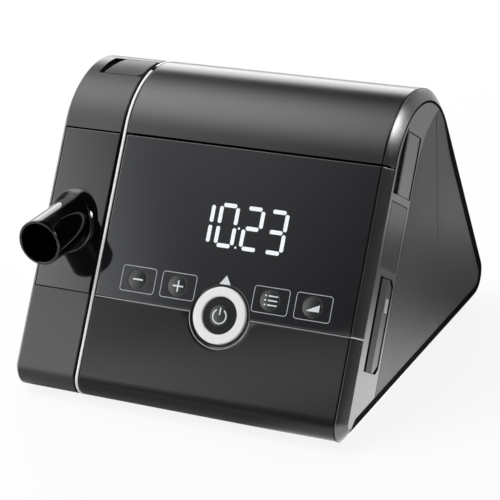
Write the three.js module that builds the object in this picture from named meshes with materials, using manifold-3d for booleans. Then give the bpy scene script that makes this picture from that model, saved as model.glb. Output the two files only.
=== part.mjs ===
// Bedside CPAP machine: a prism-shaped housing with a rounded top edge, a display with keys on the
// sloping front, a removable side section with the outlet connector on the left, ports on the right and
// a filter door at the back. Millimetres, X to the right, Y to the rear, Z up, origin under the middle.
import * as THREE from "three";
import { mergeVertices } from "three/addons/utils/BufferGeometryUtils.js";
import Module from "manifold-3d";

const wasm = await Module();
wasm.setup();
const degree = Math.PI / 180;

// Driving dimensions of the housing
const width = 170;
const depth = 180;
const housingHeight = 133;
const footHeight = 2;
const frontSlope = 59 * degree;
const apexRadius = 40.4;
const frontCornerRadius = 8.5;
const rearCornerRadius = 14.8;
const wall = 3;

// Clearances: between pieces that touch, at a seam that shows, and how far a cutter passes a face
const fit = 0.3;
const seam = 0.6;
const overrun = 2;

// Widths from the left: side section, gap, white trim strip; and the right shoulder frame
const sideWidth = 34.3;
const sideGap = 0.7;
const stripWidth = 1.3;
const shoulder = { width: 4.1, inset: 5.2, lip: 0.8, web: 1, panelSink: 0.2, steps: 5 };

// Seams: the lower one up the front slope, the upper one below the rounded top, the joints of the
// shells behind it and along the bottom
const lowerSeam = 37.2;
const upperSeamDrop = 3.3;
const rearSeamDrop = 12.7;
const bottomFrontJoint = 22;
const bottomRearLength = 30;

// Facets of the rounded corners and of round solids
const rearSteps = 8;
const apexSteps = 18;
const frontSteps = 6;
const roundSteps = 18;
const fineSteps = 36;
const smallSteps = 12;

// Power key in the middle of the display's lower edge, in a white ring that a lobe of the display holds
const power = {
  rise: 0.45, radius: 4.9, ringInner: 8.5, ringOuter: 13.25, ringProud: 0.8, ringDepth: 1.2, ringEdge: 0.5,
  dish: 0.5, lobeRim: 1.4,
};

// Round domed keys under the clock, in two pairs left and right of the power key
const key = {
  radius: 4.7, rise: 10.4, nearPitch: 23.3, farPitch: 44.1, proud: 0.9, shoulder: 0.45, rim: 0.3,
  flange: 0.8, flangeThick: 0.7, stem: 3, stemLength: 3.2, travel: 0.7,
};

// Silver line along the lower seam, and the layers behind the display
const trim = { width: 0.4, gap: 0.3, depth: 1.5 };
const glass = { thickness: 2 };
const carrier = { thickness: 2.7, margin: 1, post: 2.5, postRise: 7.8 };
const mat = { thickness: 1.7, high: 22.5 };
const board = { thickness: 1.6, beyondMinus: 10.1, beyondRamp: 5.6, postGap: 1.5, high: 12.5 };
const digits = { left: 19.5, width: 50, rise: 28, height: 26, sink: 0.4 };
const mainBoard = { depth: 16, edge: 2, portGap: 1, low: 5, high: 8.7 };

// Base: ledges of the front and rear shells that the base plate screws to, feet and screws
const ledge = { bushGap: 1, reach: 10, root: 10, height: 5 };
const screw = { head: 3, headThick: 1.6, shank: 1.5, tipGap: 0.5, inset: 5, side: 5 };
const foot = { radius: 7, seat: 1, inX: 14, inY: 12 };

// Left bulkhead, and the air port through it with its seal and duct
const bulkheadThick = 3;
const port = { bore: 8.5, tube: 1.8, sealWall: 3.5, flangeLip: 2, flangeThick: 1.2, offset: 28 };

// Blower, measured from its own axis, from the top of the base plate and from the filter frame behind it
const blower = {
  fromFrame: 1.5, radius: 40, shell: 2.5, rise: 9, floor: 2, wellDepth: 12, deck: 2.5, roof: 2, spare: 1.4,
  inlet: 13, ear: 6, earOut: 4, bush: 5, pin: 2.2, ductReach: 38.7,
};
const bearing = { outer: 5, height: 3.2, bossWall: 3.7 };
const stator = { outer: 15, height: 8.4 };
const rotor = {
  shaft: 2, rim: 4, rise: 0.8, discThick: 1.5, hub: 6, hubHeight: 7, headroom: 2.5, bladeThick: 1.4,
  bladeCount: 11, bladeInner: 14, bladeLean: 25 * degree,
};
const muffler = { front: 22, height: 31.7, shell: 5 };

// Filter door on the rear slope, with the frame and the filters behind it
const door = {
  width: 62, drop: 14, height: 46, thickness: 2.4, sink: 0.3, pin: 0.7, pinReach: 1.8, slotCount: 6,
  slotWidth: 2.6, slotPitch: 5.2, slotMargin: 9, firstSlot: 9, notch: 9, notchDepth: 1.2,
};
const filterFrame = { lip: 3, lipThick: 1.6, shell: 1.6, depth: 11, rest: 4 };
const filters = { coarse: 5, pollen: 2 };

// Power inlet low at the rear
const inlet = { fromRight: 9.6, low: 8, size: 14, length: 16, recess: 4, bore: 4.5, boreDepth: 11 };

// Right side, as depths behind the front slope and distances up it: port strip, flaps, bare plate,
// finger scoop, and the sockets on their board behind the flaps
const strip = { depth: 32, straight: 1.7, bend: 41, bendReach: 15, seam: 0.4 };
const cardFlap = { front: 15, axis: 29.6, below: 12.8, length: 28.5, chamfer: 0, relief: 0, frontGap: 0 };
const serviceFlap = {
  front: 14, axis: 28.5, low: 24.5, length: 42.5, chamfer: 3.4, relief: 0.9, frontGap: 1.2,
};
const flapPin = { radius: 0.6, reach: 1.2 };
const blankPlate = { front: 9.5, back: 29, gap: 4, thickness: 0.8 };
const scoop = { depth: 1.4, front: 8.4, back: 14, below: 0.5, above: 1.5 };
const sideFold = { y: 115, width: 0.4, depth: 0.4 };
const card = { front: 20, back: 24.6, margin: 2.3, slot: 2.4 };
const service = { front: 20, back: 25, margin: 16, slot: 2 };
const socket = { slotMargin: 1, slotDepth: 5 };
const portBoard = {
  fromFrame: 6.3, front: 19, back: 30, low: 5.5, high: 1, post: 2.2, postDepth: 24, postLow: 9, postHigh: 4.5,
};

// Side section: panel, inner wall, air chamber and the outlet connector
const sidePanelThick = 1.6;
const innerWallThick = 2.8;
const manifold = { sideGap: 1, behind: 8.7, length: 36, low: 20, high: 88, shell: 2 };
const outlet = {
  x: 17.2, z: 73, end: 8, endRadius: 10.85, rootRadius: 11.2, bore: 9.4, edge: 0.6, reachIn: 3,
  collarAcross: 2.2, collarUp: 2.4, collarThick: 1.2,
};

// Release button on top of the side section
const release = {
  left: 12.8, edge: 0.4, angle: 96.7 * degree, halfLength: 8.2, slant: 2.6, fingerGap: 2.6, travel: 2,
  flange: 1.5, flangeReach: 1.6, drop: 5.7, tongueHalf: 3, tongueThick: 2, stemLeft: 24, stemWidth: 5,
  tongueShort: 0.4,
};

// The profile in the YZ plane: three circles and their common tangents
const frontCorner = new THREE.Vector2(frontCornerRadius, frontCornerRadius);
const rearCorner = new THREE.Vector2(depth - rearCornerRadius, rearCornerRadius);
const frontUp = new THREE.Vector2(Math.cos(frontSlope), Math.sin(frontSlope));
const frontOut = new THREE.Vector2(-frontUp.y, frontUp.x);
const apexZ = housingHeight - apexRadius;
const apexReach = (frontUp.x * (apexZ - frontCorner.y) + apexRadius - frontCornerRadius) / frontUp.y;
const apex = new THREE.Vector2(frontCorner.x + apexReach, apexZ);
const rearToApex = apex.clone().sub(rearCorner);
const rearAngle = rearToApex.angle() - Math.acos((rearCornerRadius - apexRadius) / rearToApex.length());
const rearOut = new THREE.Vector2(Math.cos(rearAngle), Math.sin(rearAngle));
const rearUp = new THREE.Vector2(-rearOut.y, rearOut.x);
const frontBase = frontCorner.clone().addScaledVector(frontOut, frontCornerRadius);
const rearBase = rearCorner.clone().addScaledVector(rearOut, rearCornerRadius);
const frontLength = apex.clone().sub(frontCorner).dot(frontUp);
const rearLength = rearToApex.dot(rearUp);

// Places across the width
const stripLeft = sideWidth + sideGap;
const stripRight = stripLeft + stripWidth;
const mainLeft = stripRight + seam;
const frameLeft = width - shoulder.width;
const mainRight = frameLeft - fit;
const mainMiddle = (mainLeft + mainRight) / 2;
const bulkheadRight = stripLeft + bulkheadThick;
const innerWallRight = sideWidth - fit;
const innerWallLeft = innerWallRight - innerWallThick;
const webRight = frameLeft + shoulder.web;
const plateLeft = webRight + fit;
const plateRight = width - shoulder.panelSink;
const flapMiddle = (plateLeft + plateRight) / 2;
const flapHalf = (plateRight - plateLeft) / 2 - fit;
const portBoardRight = frameLeft - portBoard.fromFrame;
const portBoardLeft = portBoardRight - board.thickness;

// Places up the front slope and behind it
const upperSeam = frontLength - upperSeamDrop;
const rearSeam = rearLength - rearSeamDrop;
cardFlap.low = frontLength - cardFlap.below;
for (const flap of [cardFlap, serviceFlap]) {
  flap.high = flap.low + flap.length;
}
const blankLow = serviceFlap.high + blankPlate.gap;
const blankHigh = cardFlap.low - blankPlate.gap;
const stripStraight = frontLength + strip.straight;
const powerUp = lowerSeam + power.rise;
const keyUp = lowerSeam + key.rise;
const lobe = power.ringOuter + power.lobeRim;
const trimLow = lowerSeam - trim.width / 2;
const trimHigh = lowerSeam + trim.width / 2;
const trimInner = lobe + trim.gap;
const trimOuter = trimInner + trim.width;
const windowLow = trimHigh + trim.gap;
const windowHigh = upperSeam - seam / 2;
const windowLeft = mainLeft + fit;
const carrierTop = -glass.thickness - fit;
const carrierBack = carrierTop - carrier.thickness;
const matTop = carrierBack - fit;
const matBack = matTop - mat.thickness;
const boardTop = matBack - fit;
const boardBack = boardTop - board.thickness;
const keyPlaces = {
  minus_key: mainMiddle - key.farPitch,
  plus_key: mainMiddle - key.nearPitch,
  menu_key: mainMiddle + key.nearPitch,
  ramp_key: mainMiddle + key.farPitch,
};
const boardLeft = keyPlaces.minus_key - board.beyondMinus;
const boardRight = keyPlaces.ramp_key + board.beyondRamp;
const postLeft = boardLeft - board.postGap - carrier.post;
const postRight = boardRight + board.postGap + carrier.post;

// Places of the base, the blower and the air path
const bottomRearJoint = depth - bottomRearLength;
const footPlaces = [mainLeft + foot.inX, mainRight - foot.inX].flatMap((x) => [
  [x, bottomFrontJoint + foot.inY],
  [x, bottomRearJoint - foot.inY],
]);
const blowerLow = wall + blower.rise;
const wellFloor = blowerLow + blower.floor;
const split = blowerLow + blower.wellDepth;
const deckLow = split - blower.deck;
const ductRadius = port.bore + port.tube;
const coverLow = split + fit;
const coverHigh = split + 2 * ductRadius + blower.spare;
const frameDepth = wall + fit + filterFrame.depth;
const blowerY = rearAt(frameDepth, coverHigh) - blower.fromFrame - blower.radius;
const portY = blowerY - port.offset;
const portZ = (split + coverHigh) / 2;
const spigotLeft = mainMiddle - blower.ductReach;
const lowerBearingLow = wellFloor + fit;
const lowerBearingHigh = lowerBearingLow + bearing.height;
const statorLow = lowerBearingHigh + fit;
const statorHigh = statorLow + stator.height;
const discLow = statorHigh + rotor.rise;
const discHigh = discLow + rotor.discThick;
const bushPlaces = [0, 1, 2].map((k) => {
  const angle = -Math.PI / 2 + (2 * Math.PI * k) / 3;
  const reach = blower.radius + blower.earOut;
  return [mainMiddle + reach * Math.cos(angle), blowerY + reach * Math.sin(angle)];
});
const ledgeHalf = bushPlaces[1][0] - mainMiddle - blower.bush - ledge.bushGap;
const screwPlaces = [-1, 1].flatMap((side) => {
  const x = mainMiddle + side * (ledgeHalf - screw.side);
  return [[x, bottomFrontJoint + fit + screw.inset], [x, bottomRearJoint - fit - screw.inset]];
});
const tongueHigh = apexRadius - wall - fit - release.drop;
const tongueLow = tongueHigh - release.tongueThick;

// Groups: the whole machine; the sloping front (x, up the slope, out of it); the sloping rear seen from
// behind; and the top of the side section where the release button sits
const machine = new THREE.Group();
machine.position.set(-width / 2, -depth / 2, footHeight);
const front = new THREE.Group();
front.position.set(0, frontBase.x, frontBase.y);
front.rotation.x = frontSlope;
const rear = new THREE.Group();
rear.position.set(width, rearBase.x, rearBase.y);
rear.rotation.setFromRotationMatrix(new THREE.Matrix4().makeBasis(
  new THREE.Vector3(-1, 0, 0),
  new THREE.Vector3(0, rearUp.x, rearUp.y),
  new THREE.Vector3(0, rearOut.x, rearOut.y),
));
const top = new THREE.Group();
top.position.set(0, apex.x, apex.y);
top.rotation.x = release.angle - Math.PI / 2;
for (const group of [front, rear, top]) {
  group.updateMatrix();
  machine.add(group);
}

// Finishes
const finish = (color, roughness, metalness = 0) =>
  new THREE.MeshStandardMaterial({ color, roughness, metalness });
const finishes = {
  satin: finish(0x3a3c3d, 0.45),
  gloss: finish(0x2c2f31, 0.15),
  glass: finish(0x23292d, 0.08),
  black: finish(0x0b0b0c, 0.12),
  white: finish(0xf2f2ef, 0.4),
  silver: finish(0xb9bbbc, 0.3, 0.9),
  inner: finish(0x5a5c5e, 0.7),
  board: finish(0x1f5a38, 0.6),
  rubber: finish(0x1b1b1c, 0.85),
  foam: finish(0x6f7478, 0.95),
  steel: finish(0xa9abad, 0.35, 0.9),
  copper: finish(0x9c6b45, 0.5, 0.6),
};

// Flat shapes: pairs of numbers as points, an arc, a disc and a rectangle with rounded corners
const toPoints = (pairs) => pairs.map(([x, y]) => new THREE.Vector2(x, y));

function arc(x, y, radius, from, to, steps) {
  return Array.from({ length: steps + 1 }, (_, k) => {
    const angle = from + ((to - from) * k) / steps;
    return new THREE.Vector2(x + radius * Math.cos(angle), y + radius * Math.sin(angle));
  });
}

function disc(x, y, radius, steps = roundSteps) {
  return arc(x, y, radius, 0, 2 * Math.PI, steps).slice(0, -1);
}

function rectangle(x0, y0, x1, y1) {
  return toPoints([[x0, y0], [x1, y0], [x1, y1], [x0, y1]]);
}

// The housing's profile, moved inwards by inset
function outline(inset) {
  const frontAngle = Math.PI / 2 + frontSlope;
  return [
    ...arc(rearCorner.x, rearCorner.y, rearCornerRadius - inset, -Math.PI / 2, rearAngle, rearSteps),
    ...arc(apex.x, apex.y, apexRadius - inset, rearAngle, frontAngle, apexSteps),
    ...arc(frontCorner.x, frontCorner.y, frontCornerRadius - inset, frontAngle, 1.5 * Math.PI, frontSteps),
  ];
}

// A point of the YZ plane, from its depth behind the front or rear slope and its distance up that slope
function byFront(inward, up) {
  return frontBase.clone().addScaledVector(frontUp, up).addScaledVector(frontOut, -inward);
}

function byRear(inward, up) {
  return rearBase.clone().addScaledVector(rearUp, up).addScaledVector(rearOut, -inward);
}

// The Y of a line at a depth behind the front or rear slope, at height z
function frontAt(inward, z) {
  const foot_ = byFront(inward, 0);
  return foot_.x + ((z - foot_.y) * frontUp.x) / frontUp.y;
}

function rearAt(inward, z) {
  const foot_ = byRear(inward, 0);
  return foot_.x + ((z - foot_.y) * rearUp.x) / rearUp.y;
}

// Solids: a flat shape raised from one level to another, and a YZ shape carried across the width
function plate(points, low, high) {
  const options = { depth: high - low, bevelEnabled: false };
  return new THREE.ExtrudeGeometry(new THREE.Shape(points), options).translate(0, 0, low);
}

const acrossWidth = new THREE.Matrix4().makeBasis(
  new THREE.Vector3(0, 1, 0),
  new THREE.Vector3(0, 0, 1),
  new THREE.Vector3(1, 0, 0),
);

function slab(points, left, right) {
  return plate(points, left, right).applyMatrix4(acrossWidth);
}

function block(x0, y0, z0, x1, y1, z1) {
  const box = new THREE.BoxGeometry(x1 - x0, y1 - y0, z1 - z0);
  return box.translate((x0 + x1) / 2, (y0 + y1) / 2, (z0 + z1) / 2);
}

// Round solids along X, Y or Z, between two places on that axis
function rodX(radius, y, z, x0, x1, steps = roundSteps) {
  return slab(disc(y, z, radius, steps), x0, x1);
}

function rodY(radius, x, z, y0, y1, steps = roundSteps) {
  const rod = new THREE.CylinderGeometry(radius, radius, y1 - y0, steps);
  return rod.translate(x, (y0 + y1) / 2, z);
}

function rodZ(radius, x, y, z0, z1, steps = roundSteps) {
  return plate(disc(x, y, radius, steps), z0, z1);
}

// A solid turned about Z from pairs of radius and height
function turned(pairs, steps) {
  return new THREE.LatheGeometry(toPoints(pairs), steps).rotateX(Math.PI / 2);
}

// A closed mesh from points and faces, with its faces turned outwards
function closedMesh(points, faces) {
  let volume = 0;
  for (const [a, b, c] of faces) {
    volume += points[a].dot(new THREE.Vector3().crossVectors(points[b], points[c]));
  }
  const outward = volume > 0 ? faces : faces.map(([a, b, c]) => [a, c, b]);
  const geometry = new THREE.BufferGeometry().setFromPoints(points);
  geometry.setIndex(outward.flat());
  return geometry;
}

// Profiles at several stations across the width, joined into a solid with end caps or into a ring
function carry(stations, ring = false) {
  const rings = stations.map(({ x, inset }) => outline(inset).map((p) => new THREE.Vector3(x, p.x, p.y)));
  const count = rings[0].length;
  const spans = ring ? rings.length : rings.length - 1;
  const faces = [];
  for (let i = 0; i < spans; i++) {
    const here = i * count;
    const next = ((i + 1) % rings.length) * count;
    for (let j = 0; j < count; j++) {
      const k = (j + 1) % count;
      faces.push([here + j, here + k, next + j], [here + k, next + k, next + j]);
    }
  }
  if (!ring) {
    const last = (rings.length - 1) * count;
    for (let j = 1; j < count - 1; j++) {
      faces.push([0, j + 1, j], [last, last + j, last + j + 1]);
    }
  }
  return closedMesh(rings.flat(), faces);
}

// Joining and cutting
function toSolid(geometry) {
  const bare = new THREE.BufferGeometry();
  bare.setAttribute("position", geometry.getAttribute("position"));
  bare.setIndex(geometry.index);
  const welded = mergeVertices(bare);
  return new wasm.Manifold(new wasm.Mesh({
    numProp: 3,
    vertProperties: new Float32Array(welded.getAttribute("position").array),
    triVerts: new Uint32Array(welded.index.array),
  }));
}

function toGeometry(solid) {
  const mesh = solid.getMesh();
  const geometry = new THREE.BufferGeometry();
  geometry.setAttribute("position", new THREE.BufferAttribute(new Float32Array(mesh.vertProperties), 3));
  geometry.setIndex(new THREE.BufferAttribute(new Uint32Array(mesh.triVerts), 1));
  return geometry;
}

const combine = (how) => (first, ...others) =>
  toGeometry(others.reduce((solid, other) => solid[how](toSolid(other)), toSolid(first)));
const join = combine("add");
const cut = combine("subtract");
const common = combine("intersect");

// A solid of the sloping front, the sloping rear or the top, in the housing's own directions
const fromFront = (geometry) => geometry.clone().applyMatrix4(front.matrix);
const fromRear = (geometry) => geometry.clone().applyMatrix4(rear.matrix);
const fromTop = (geometry) => geometry.clone().applyMatrix4(top.matrix);
const toFront = (geometry) => geometry.clone().applyMatrix4(front.matrix.clone().invert());

function add(parent, name, geometry, material) {
  geometry.computeVertexNormals();
  const mesh = new THREE.Mesh(geometry, material);
  mesh.name = name;
  parent.add(mesh);
}

// Dark window with a lobe round the power key, a dished middle and a seat for the white ring
function makeDisplay() {
  const centred = (radius, low, high, steps = fineSteps) =>
    plate(disc(mainMiddle, powerUp, radius, steps), low, high);
  const ringSeat = cut(
    centred(power.ringOuter + fit, -power.ringDepth - fit, overrun),
    centred(power.ringInner - fit, -power.ringDepth - overrun, 2 * overrun),
  );
  const keyHoles = Object.values(keyPlaces).map((x) =>
    plate(disc(x, keyUp, key.radius + fit), -glass.thickness - overrun, overrun));
  const pane = plate(rectangle(windowLeft, windowLow, mainRight, windowHigh), -glass.thickness, 0);
  const pierced = cut(
    join(pane, centred(lobe, -glass.thickness, 0)),
    ringSeat,
    centred(power.ringInner, -power.dish, overrun),
    centred(power.radius + fit, -glass.thickness - overrun, overrun, roundSteps),
    ...keyHoles,
  );
  add(front, "display_window", pierced, finishes.glass);

  const ring = turned([
    [power.ringInner, -power.ringDepth],
    [power.ringOuter, -power.ringDepth],
    [power.ringOuter, power.ringProud - power.ringEdge],
    [power.ringOuter - power.ringEdge, power.ringProud],
    [power.ringInner + power.ringEdge, power.ringProud],
    [power.ringInner, power.ringProud - power.ringEdge],
    [power.ringInner, -power.ringDepth],
  ], fineSteps);
  add(front, "power_ring", ring.translate(mainMiddle, powerUp, 0), finishes.white);
}

// A key: dome, body, flange under the window and stem
function keySolid(radius) {
  const flangeBack = carrierTop - key.flangeThick;
  return turned([
    [0, flangeBack - key.stemLength],
    [key.stem, flangeBack - key.stemLength],
    [key.stem, flangeBack],
    [radius + key.flange, flangeBack],
    [radius + key.flange, carrierTop],
    [radius, carrierTop],
    [radius, key.proud - key.shoulder - key.rim],
    [radius - key.rim, key.proud - key.shoulder],
    [radius / 2, key.proud],
    [0, key.proud],
  ], roundSteps);
}

function makeKeys() {
  for (const [name, x] of Object.entries(keyPlaces)) {
    add(front, name, keySolid(key.radius).translate(x, keyUp, 0), finishes.glass);
  }
  add(front, "power_button", keySolid(power.radius).translate(mainMiddle, powerUp, 0), finishes.glass);
}

// Carrier with pockets for the keys, keypad mat, display board, digit module and main board
function makeDisplayStack() {
  const places = Object.values(keyPlaces).map((x) => ({ x, up: keyUp, radius: key.radius }));
  places.push({ x: mainMiddle, up: powerUp, radius: power.radius });
  const pocketFloor = carrierTop - key.flangeThick - key.travel - fit;
  const pockets = places.map(({ x, up, radius }) =>
    plate(disc(x, up, radius + key.flange + fit), pocketFloor, carrierTop + overrun));
  const stemHoles = places.map(({ x, up }) =>
    plate(disc(x, up, key.stem + fit), matBack - overrun, carrierTop + overrun));
  const digitLeft = mainMiddle - digits.left;
  const digitLow = lowerSeam + digits.rise;
  const digitShape = (grow) => rectangle(digitLeft - grow, digitLow - grow,
    digitLeft + digits.width + grow, digitLow + digits.height + grow);
  const posts = [postLeft, postRight].flatMap((x) =>
    [lowerSeam + carrier.postRise, upperSeam - board.high].map((up) =>
      plate(disc(x, up, carrier.post, smallSteps), fit - mainBoard.depth, carrierBack + fit)));
  const body = join(
    plate(rectangle(bulkheadRight + fit, windowLow, mainRight - carrier.margin, windowHigh - carrier.margin),
      carrierBack, carrierTop),
    plate(disc(mainMiddle, powerUp, lobe - carrier.margin), carrierBack, carrierTop),
    ...posts,
  );
  const digitHole = plate(digitShape(fit), carrierBack - overrun, carrierTop + overrun);
  add(front, "display_carrier", cut(body, ...pockets, ...stemHoles, digitHole), finishes.inner);

  const matShape = rectangle(boardLeft, powerUp - lobe / 2, boardRight, lowerSeam + mat.high);
  add(front, "keypad_mat", cut(plate(matShape, matBack, matTop), ...stemHoles), finishes.rubber);
  add(front, "display_board",
    plate(rectangle(boardLeft, powerUp - lobe / 2, boardRight, upperSeam - board.high - carrier.post),
      boardBack, boardTop),
    finishes.board);
  add(front, "digit_module", plate(digitShape(0), boardTop + fit, carrierTop - digits.sink), finishes.black);
  add(front, "main_board",
    plate(rectangle(bulkheadRight + mainBoard.edge, lowerSeam + mainBoard.low,
      portBoardLeft - mainBoard.portGap, upperSeam - mainBoard.high),
    -mainBoard.depth - board.thickness, -mainBoard.depth),
    finishes.board);
}

// Thin silver line that dips round the lobe of the window
function makeSeamTrim() {
  const dip = (radius, level) => {
    const angle = Math.asin((powerUp - level) / radius);
    return arc(mainMiddle, powerUp, radius, Math.PI + angle, 2 * Math.PI - angle, roundSteps);
  };
  const shape = [
    ...dip(trimOuter, trimLow),
    ...toPoints([[mainRight, trimLow], [mainRight, trimHigh]]),
    ...dip(trimInner, trimHigh).reverse(),
    ...toPoints([[mainLeft, trimHigh], [mainLeft, trimLow]]),
  ];
  add(front, "seam_trim", plate(shape, -trim.depth, 0), finishes.silver);
}

// A ledge inside a shell at its joint with the base plate: a root on the shell, a reach over the plate
function ledgeAt(joint, direction) {
  const left = mainMiddle - ledgeHalf;
  const right = mainMiddle + ledgeHalf;
  const root = joint - direction * ledge.root;
  const reach = joint + direction * ledge.reach;
  const high = wall + ledge.height;
  return [
    block(left, Math.min(root, reach), wall + fit, right, Math.max(root, reach), high),
    block(left, Math.min(root, joint), wall / 2, right, Math.max(root, joint), high),
  ];
}

// Shells of the main housing: one hollow profile, parted at the seams
function makeShells() {
  const hollow = cut(
    slab(outline(0), mainLeft, mainRight),
    slab(outline(wall), mainLeft - overrun, mainRight + overrun),
  );
  const region = (points) => slab(points, mainLeft - overrun, mainRight + overrun);
  const at = (y, z) => new THREE.Vector2(y, z);
  const inside = 2 * wall;
  const screwHoles = screwPlaces.map(([x, y]) =>
    rodZ(screw.shank + fit, x, y, -overrun, wall + ledge.height + overrun, smallSteps));

  const lowerEdge = trimLow - trim.gap;
  const lowerFront = common(hollow, region([
    byFront(-overrun, lowerEdge), byFront(inside, lowerEdge), at(bottomFrontJoint, inside),
    at(bottomFrontJoint, -overrun), at(-overrun, -overrun),
  ]));
  const lobeNotch = fromFront(plate(disc(mainMiddle, powerUp, trimOuter + trim.gap, fineSteps),
    -inside, overrun));
  add(machine, "lower_front_cover",
    cut(join(lowerFront, ...ledgeAt(bottomFrontJoint, 1)), lobeNotch, ...screwHoles), finishes.satin);

  const upperEdge = upperSeam + seam / 2;
  const above = housingHeight + overrun;
  add(machine, "top_cover", common(hollow, region([
    byFront(-overrun, upperEdge), byFront(inside, upperEdge), apex.clone(), byRear(inside, rearSeam),
    byRear(-overrun, rearSeam), at(depth, above), at(0, above),
  ])), finishes.satin);

  const rearShell = common(hollow, region([
    byRear(inside, rearSeam - seam), byRear(-overrun, rearSeam - seam), at(depth + overrun, apex.y),
    at(depth + overrun, -overrun), at(bottomRearJoint, -overrun), at(bottomRearJoint, inside),
  ]));
  const inletHole = block(inletLeft - fit, depth - rearCornerRadius, inlet.low - fit,
    inletLeft + inlet.size + fit, depth + overrun, inlet.low + inlet.size + fit);
  add(machine, "rear_housing",
    cut(join(rearShell, ...ledgeAt(bottomRearJoint, -1)), fromRear(doorHole()), fromRear(doorPin(fit)),
      inletHole, ...screwHoles),
    finishes.satin);
}

// Base plate with seats for the feet, pins for the blower's bushes and counterbored screws
function makeBase() {
  const seats = footPlaces.map(([x, y]) => rodZ(foot.radius + fit, x, y, -overrun, foot.seat));
  const heads = screwPlaces.map(([x, y]) =>
    rodZ(screw.head + fit, x, y, -overrun, screw.headThick + fit, smallSteps));
  const holes = screwPlaces.map(([x, y]) =>
    rodZ(screw.shank + fit, x, y, -overrun, wall + overrun, smallSteps));
  const pins = bushPlaces.map(([x, y]) => rodZ(blower.pin, x, y, wall / 2, split - fit, smallSteps));
  const floor = block(mainLeft, bottomFrontJoint + fit, 0, mainRight, bottomRearJoint - fit, wall);
  add(machine, "base_plate", cut(join(floor, ...pins), ...seats, ...heads, ...holes), finishes.inner);
  footPlaces.forEach(([x, y], k) => {
    const solid = rodZ(foot.radius, x, y, -footHeight, foot.seat - fit);
    add(machine, `foot_${k + 1}`, solid, finishes.rubber);
  });
  screwPlaces.forEach(([x, y], k) => {
    const tip = wall + ledge.height - screw.tipGap;
    const solid = join(
      rodZ(screw.head, x, y, 0, screw.headThick, smallSteps),
      rodZ(screw.shank, x, y, 0, tip, smallSteps),
    );
    add(machine, `base_screw_${k + 1}`, solid, finishes.steel);
  });
}

// Left bulkhead that closes the main housing, the white strip round it, the port's seal and the duct
function makeBulkhead() {
  const slot = fromTop(block(stripLeft - overrun, -release.tongueHalf - fit, tongueLow - release.travel - fit,
    bulkheadRight + overrun, release.tongueHalf + fit, tongueHigh + fit));
  const sealRadius = port.bore + port.sealWall;
  const sealHole = rodX(sealRadius + fit, portY, portZ, stripLeft - overrun, bulkheadRight + overrun);
  add(machine, "left_bulkhead",
    cut(slab(outline(wall + fit), stripLeft, bulkheadRight), sealHole, slot), finishes.inner);
  add(machine, "white_trim_strip", cut(
    slab(outline(0), stripLeft, stripRight),
    slab(outline(wall), stripLeft - overrun, stripRight + overrun),
  ), finishes.white);
  const flangeLeft = bulkheadRight + fit;
  const flangeRight = flangeLeft + port.flangeThick;
  add(machine, "port_seal", cut(
    join(
      rodX(sealRadius, portY, portZ, sideWidth + fit, flangeRight),
      rodX(sealRadius + port.flangeLip, portY, portZ, flangeLeft, flangeRight),
    ),
    rodX(port.bore, portY, portZ, sideWidth - overrun, flangeRight + overrun),
  ), finishes.rubber);
  add(machine, "air_duct", cut(
    rodX(ductRadius, portY, portZ, flangeRight + fit, spigotLeft - fit),
    rodX(port.bore, portY, portZ, flangeRight - overrun, spigotLeft + overrun),
  ), finishes.inner);
}

// Blower: base with a motor well on three bushes, and a cover with the inlet and the outlet spigot
function makeBlower() {
  const round = (radius, low, high, steps = fineSteps) => rodZ(radius, mainMiddle, blowerY, low, high, steps);
  const ears = bushPlaces.map(([x, y]) => rodZ(blower.ear, x, y, deckLow, split, smallSteps));
  const earHoles = bushPlaces.map(([x, y]) =>
    rodZ(blower.pin + fit, x, y, deckLow - overrun, split + overrun, smallSteps));
  const well = stator.outer + fit;
  const base = cut(
    join(
      round(blower.radius, deckLow, split),
      round(well + blower.shell, blowerLow, split, roundSteps),
      ...ears,
    ),
    round(well, wellFloor, split + overrun, roundSteps),
    ...earHoles,
  );
  const boss = cut(
    round(bearing.outer + fit + bearing.bossWall, wellFloor - blower.floor / 2, lowerBearingHigh, roundSteps),
    round(bearing.outer + fit, wellFloor, lowerBearingHigh + overrun, roundSteps),
  );
  add(machine, "blower_base", join(base, boss), finishes.inner);

  const innerRadius = blower.radius - blower.shell;
  const ductRight = mainMiddle - bearing.outer;
  add(machine, "blower_cover", cut(
    join(
      round(blower.radius, coverLow, coverHigh),
      rodX(ductRadius, portY, portZ, spigotLeft, ductRight),
    ),
    round(innerRadius, coverLow - overrun, coverHigh - blower.roof),
    rodX(port.bore, portY, portZ, spigotLeft - overrun, ductRight),
    round(blower.inlet, coverHigh - blower.roof - overrun, coverHigh + overrun, roundSteps),
  ), finishes.inner);

  bushPlaces.forEach(([x, y], k) => {
    const solid = cut(
      rodZ(blower.bush, x, y, wall + fit, deckLow - fit, smallSteps),
      rodZ(blower.pin + fit, x, y, 0, split, smallSteps),
    );
    add(machine, `blower_bush_${k + 1}`, solid, finishes.rubber);
  });

  const bearingAt = (low) => cut(
    round(bearing.outer, low, low + bearing.height, roundSteps),
    round(rotor.shaft + fit, low - overrun, low + bearing.height + overrun, smallSteps),
  );
  add(machine, "lower_bearing", bearingAt(lowerBearingLow), finishes.steel);
  add(machine, "upper_bearing", bearingAt(statorHigh - bearing.height), finishes.steel);
  add(machine, "motor_stator", cut(
    round(stator.outer, statorLow, statorHigh, roundSteps),
    round(bearing.outer + fit, statorLow - overrun, statorHigh + overrun, roundSteps),
  ), finishes.copper);
}

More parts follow.
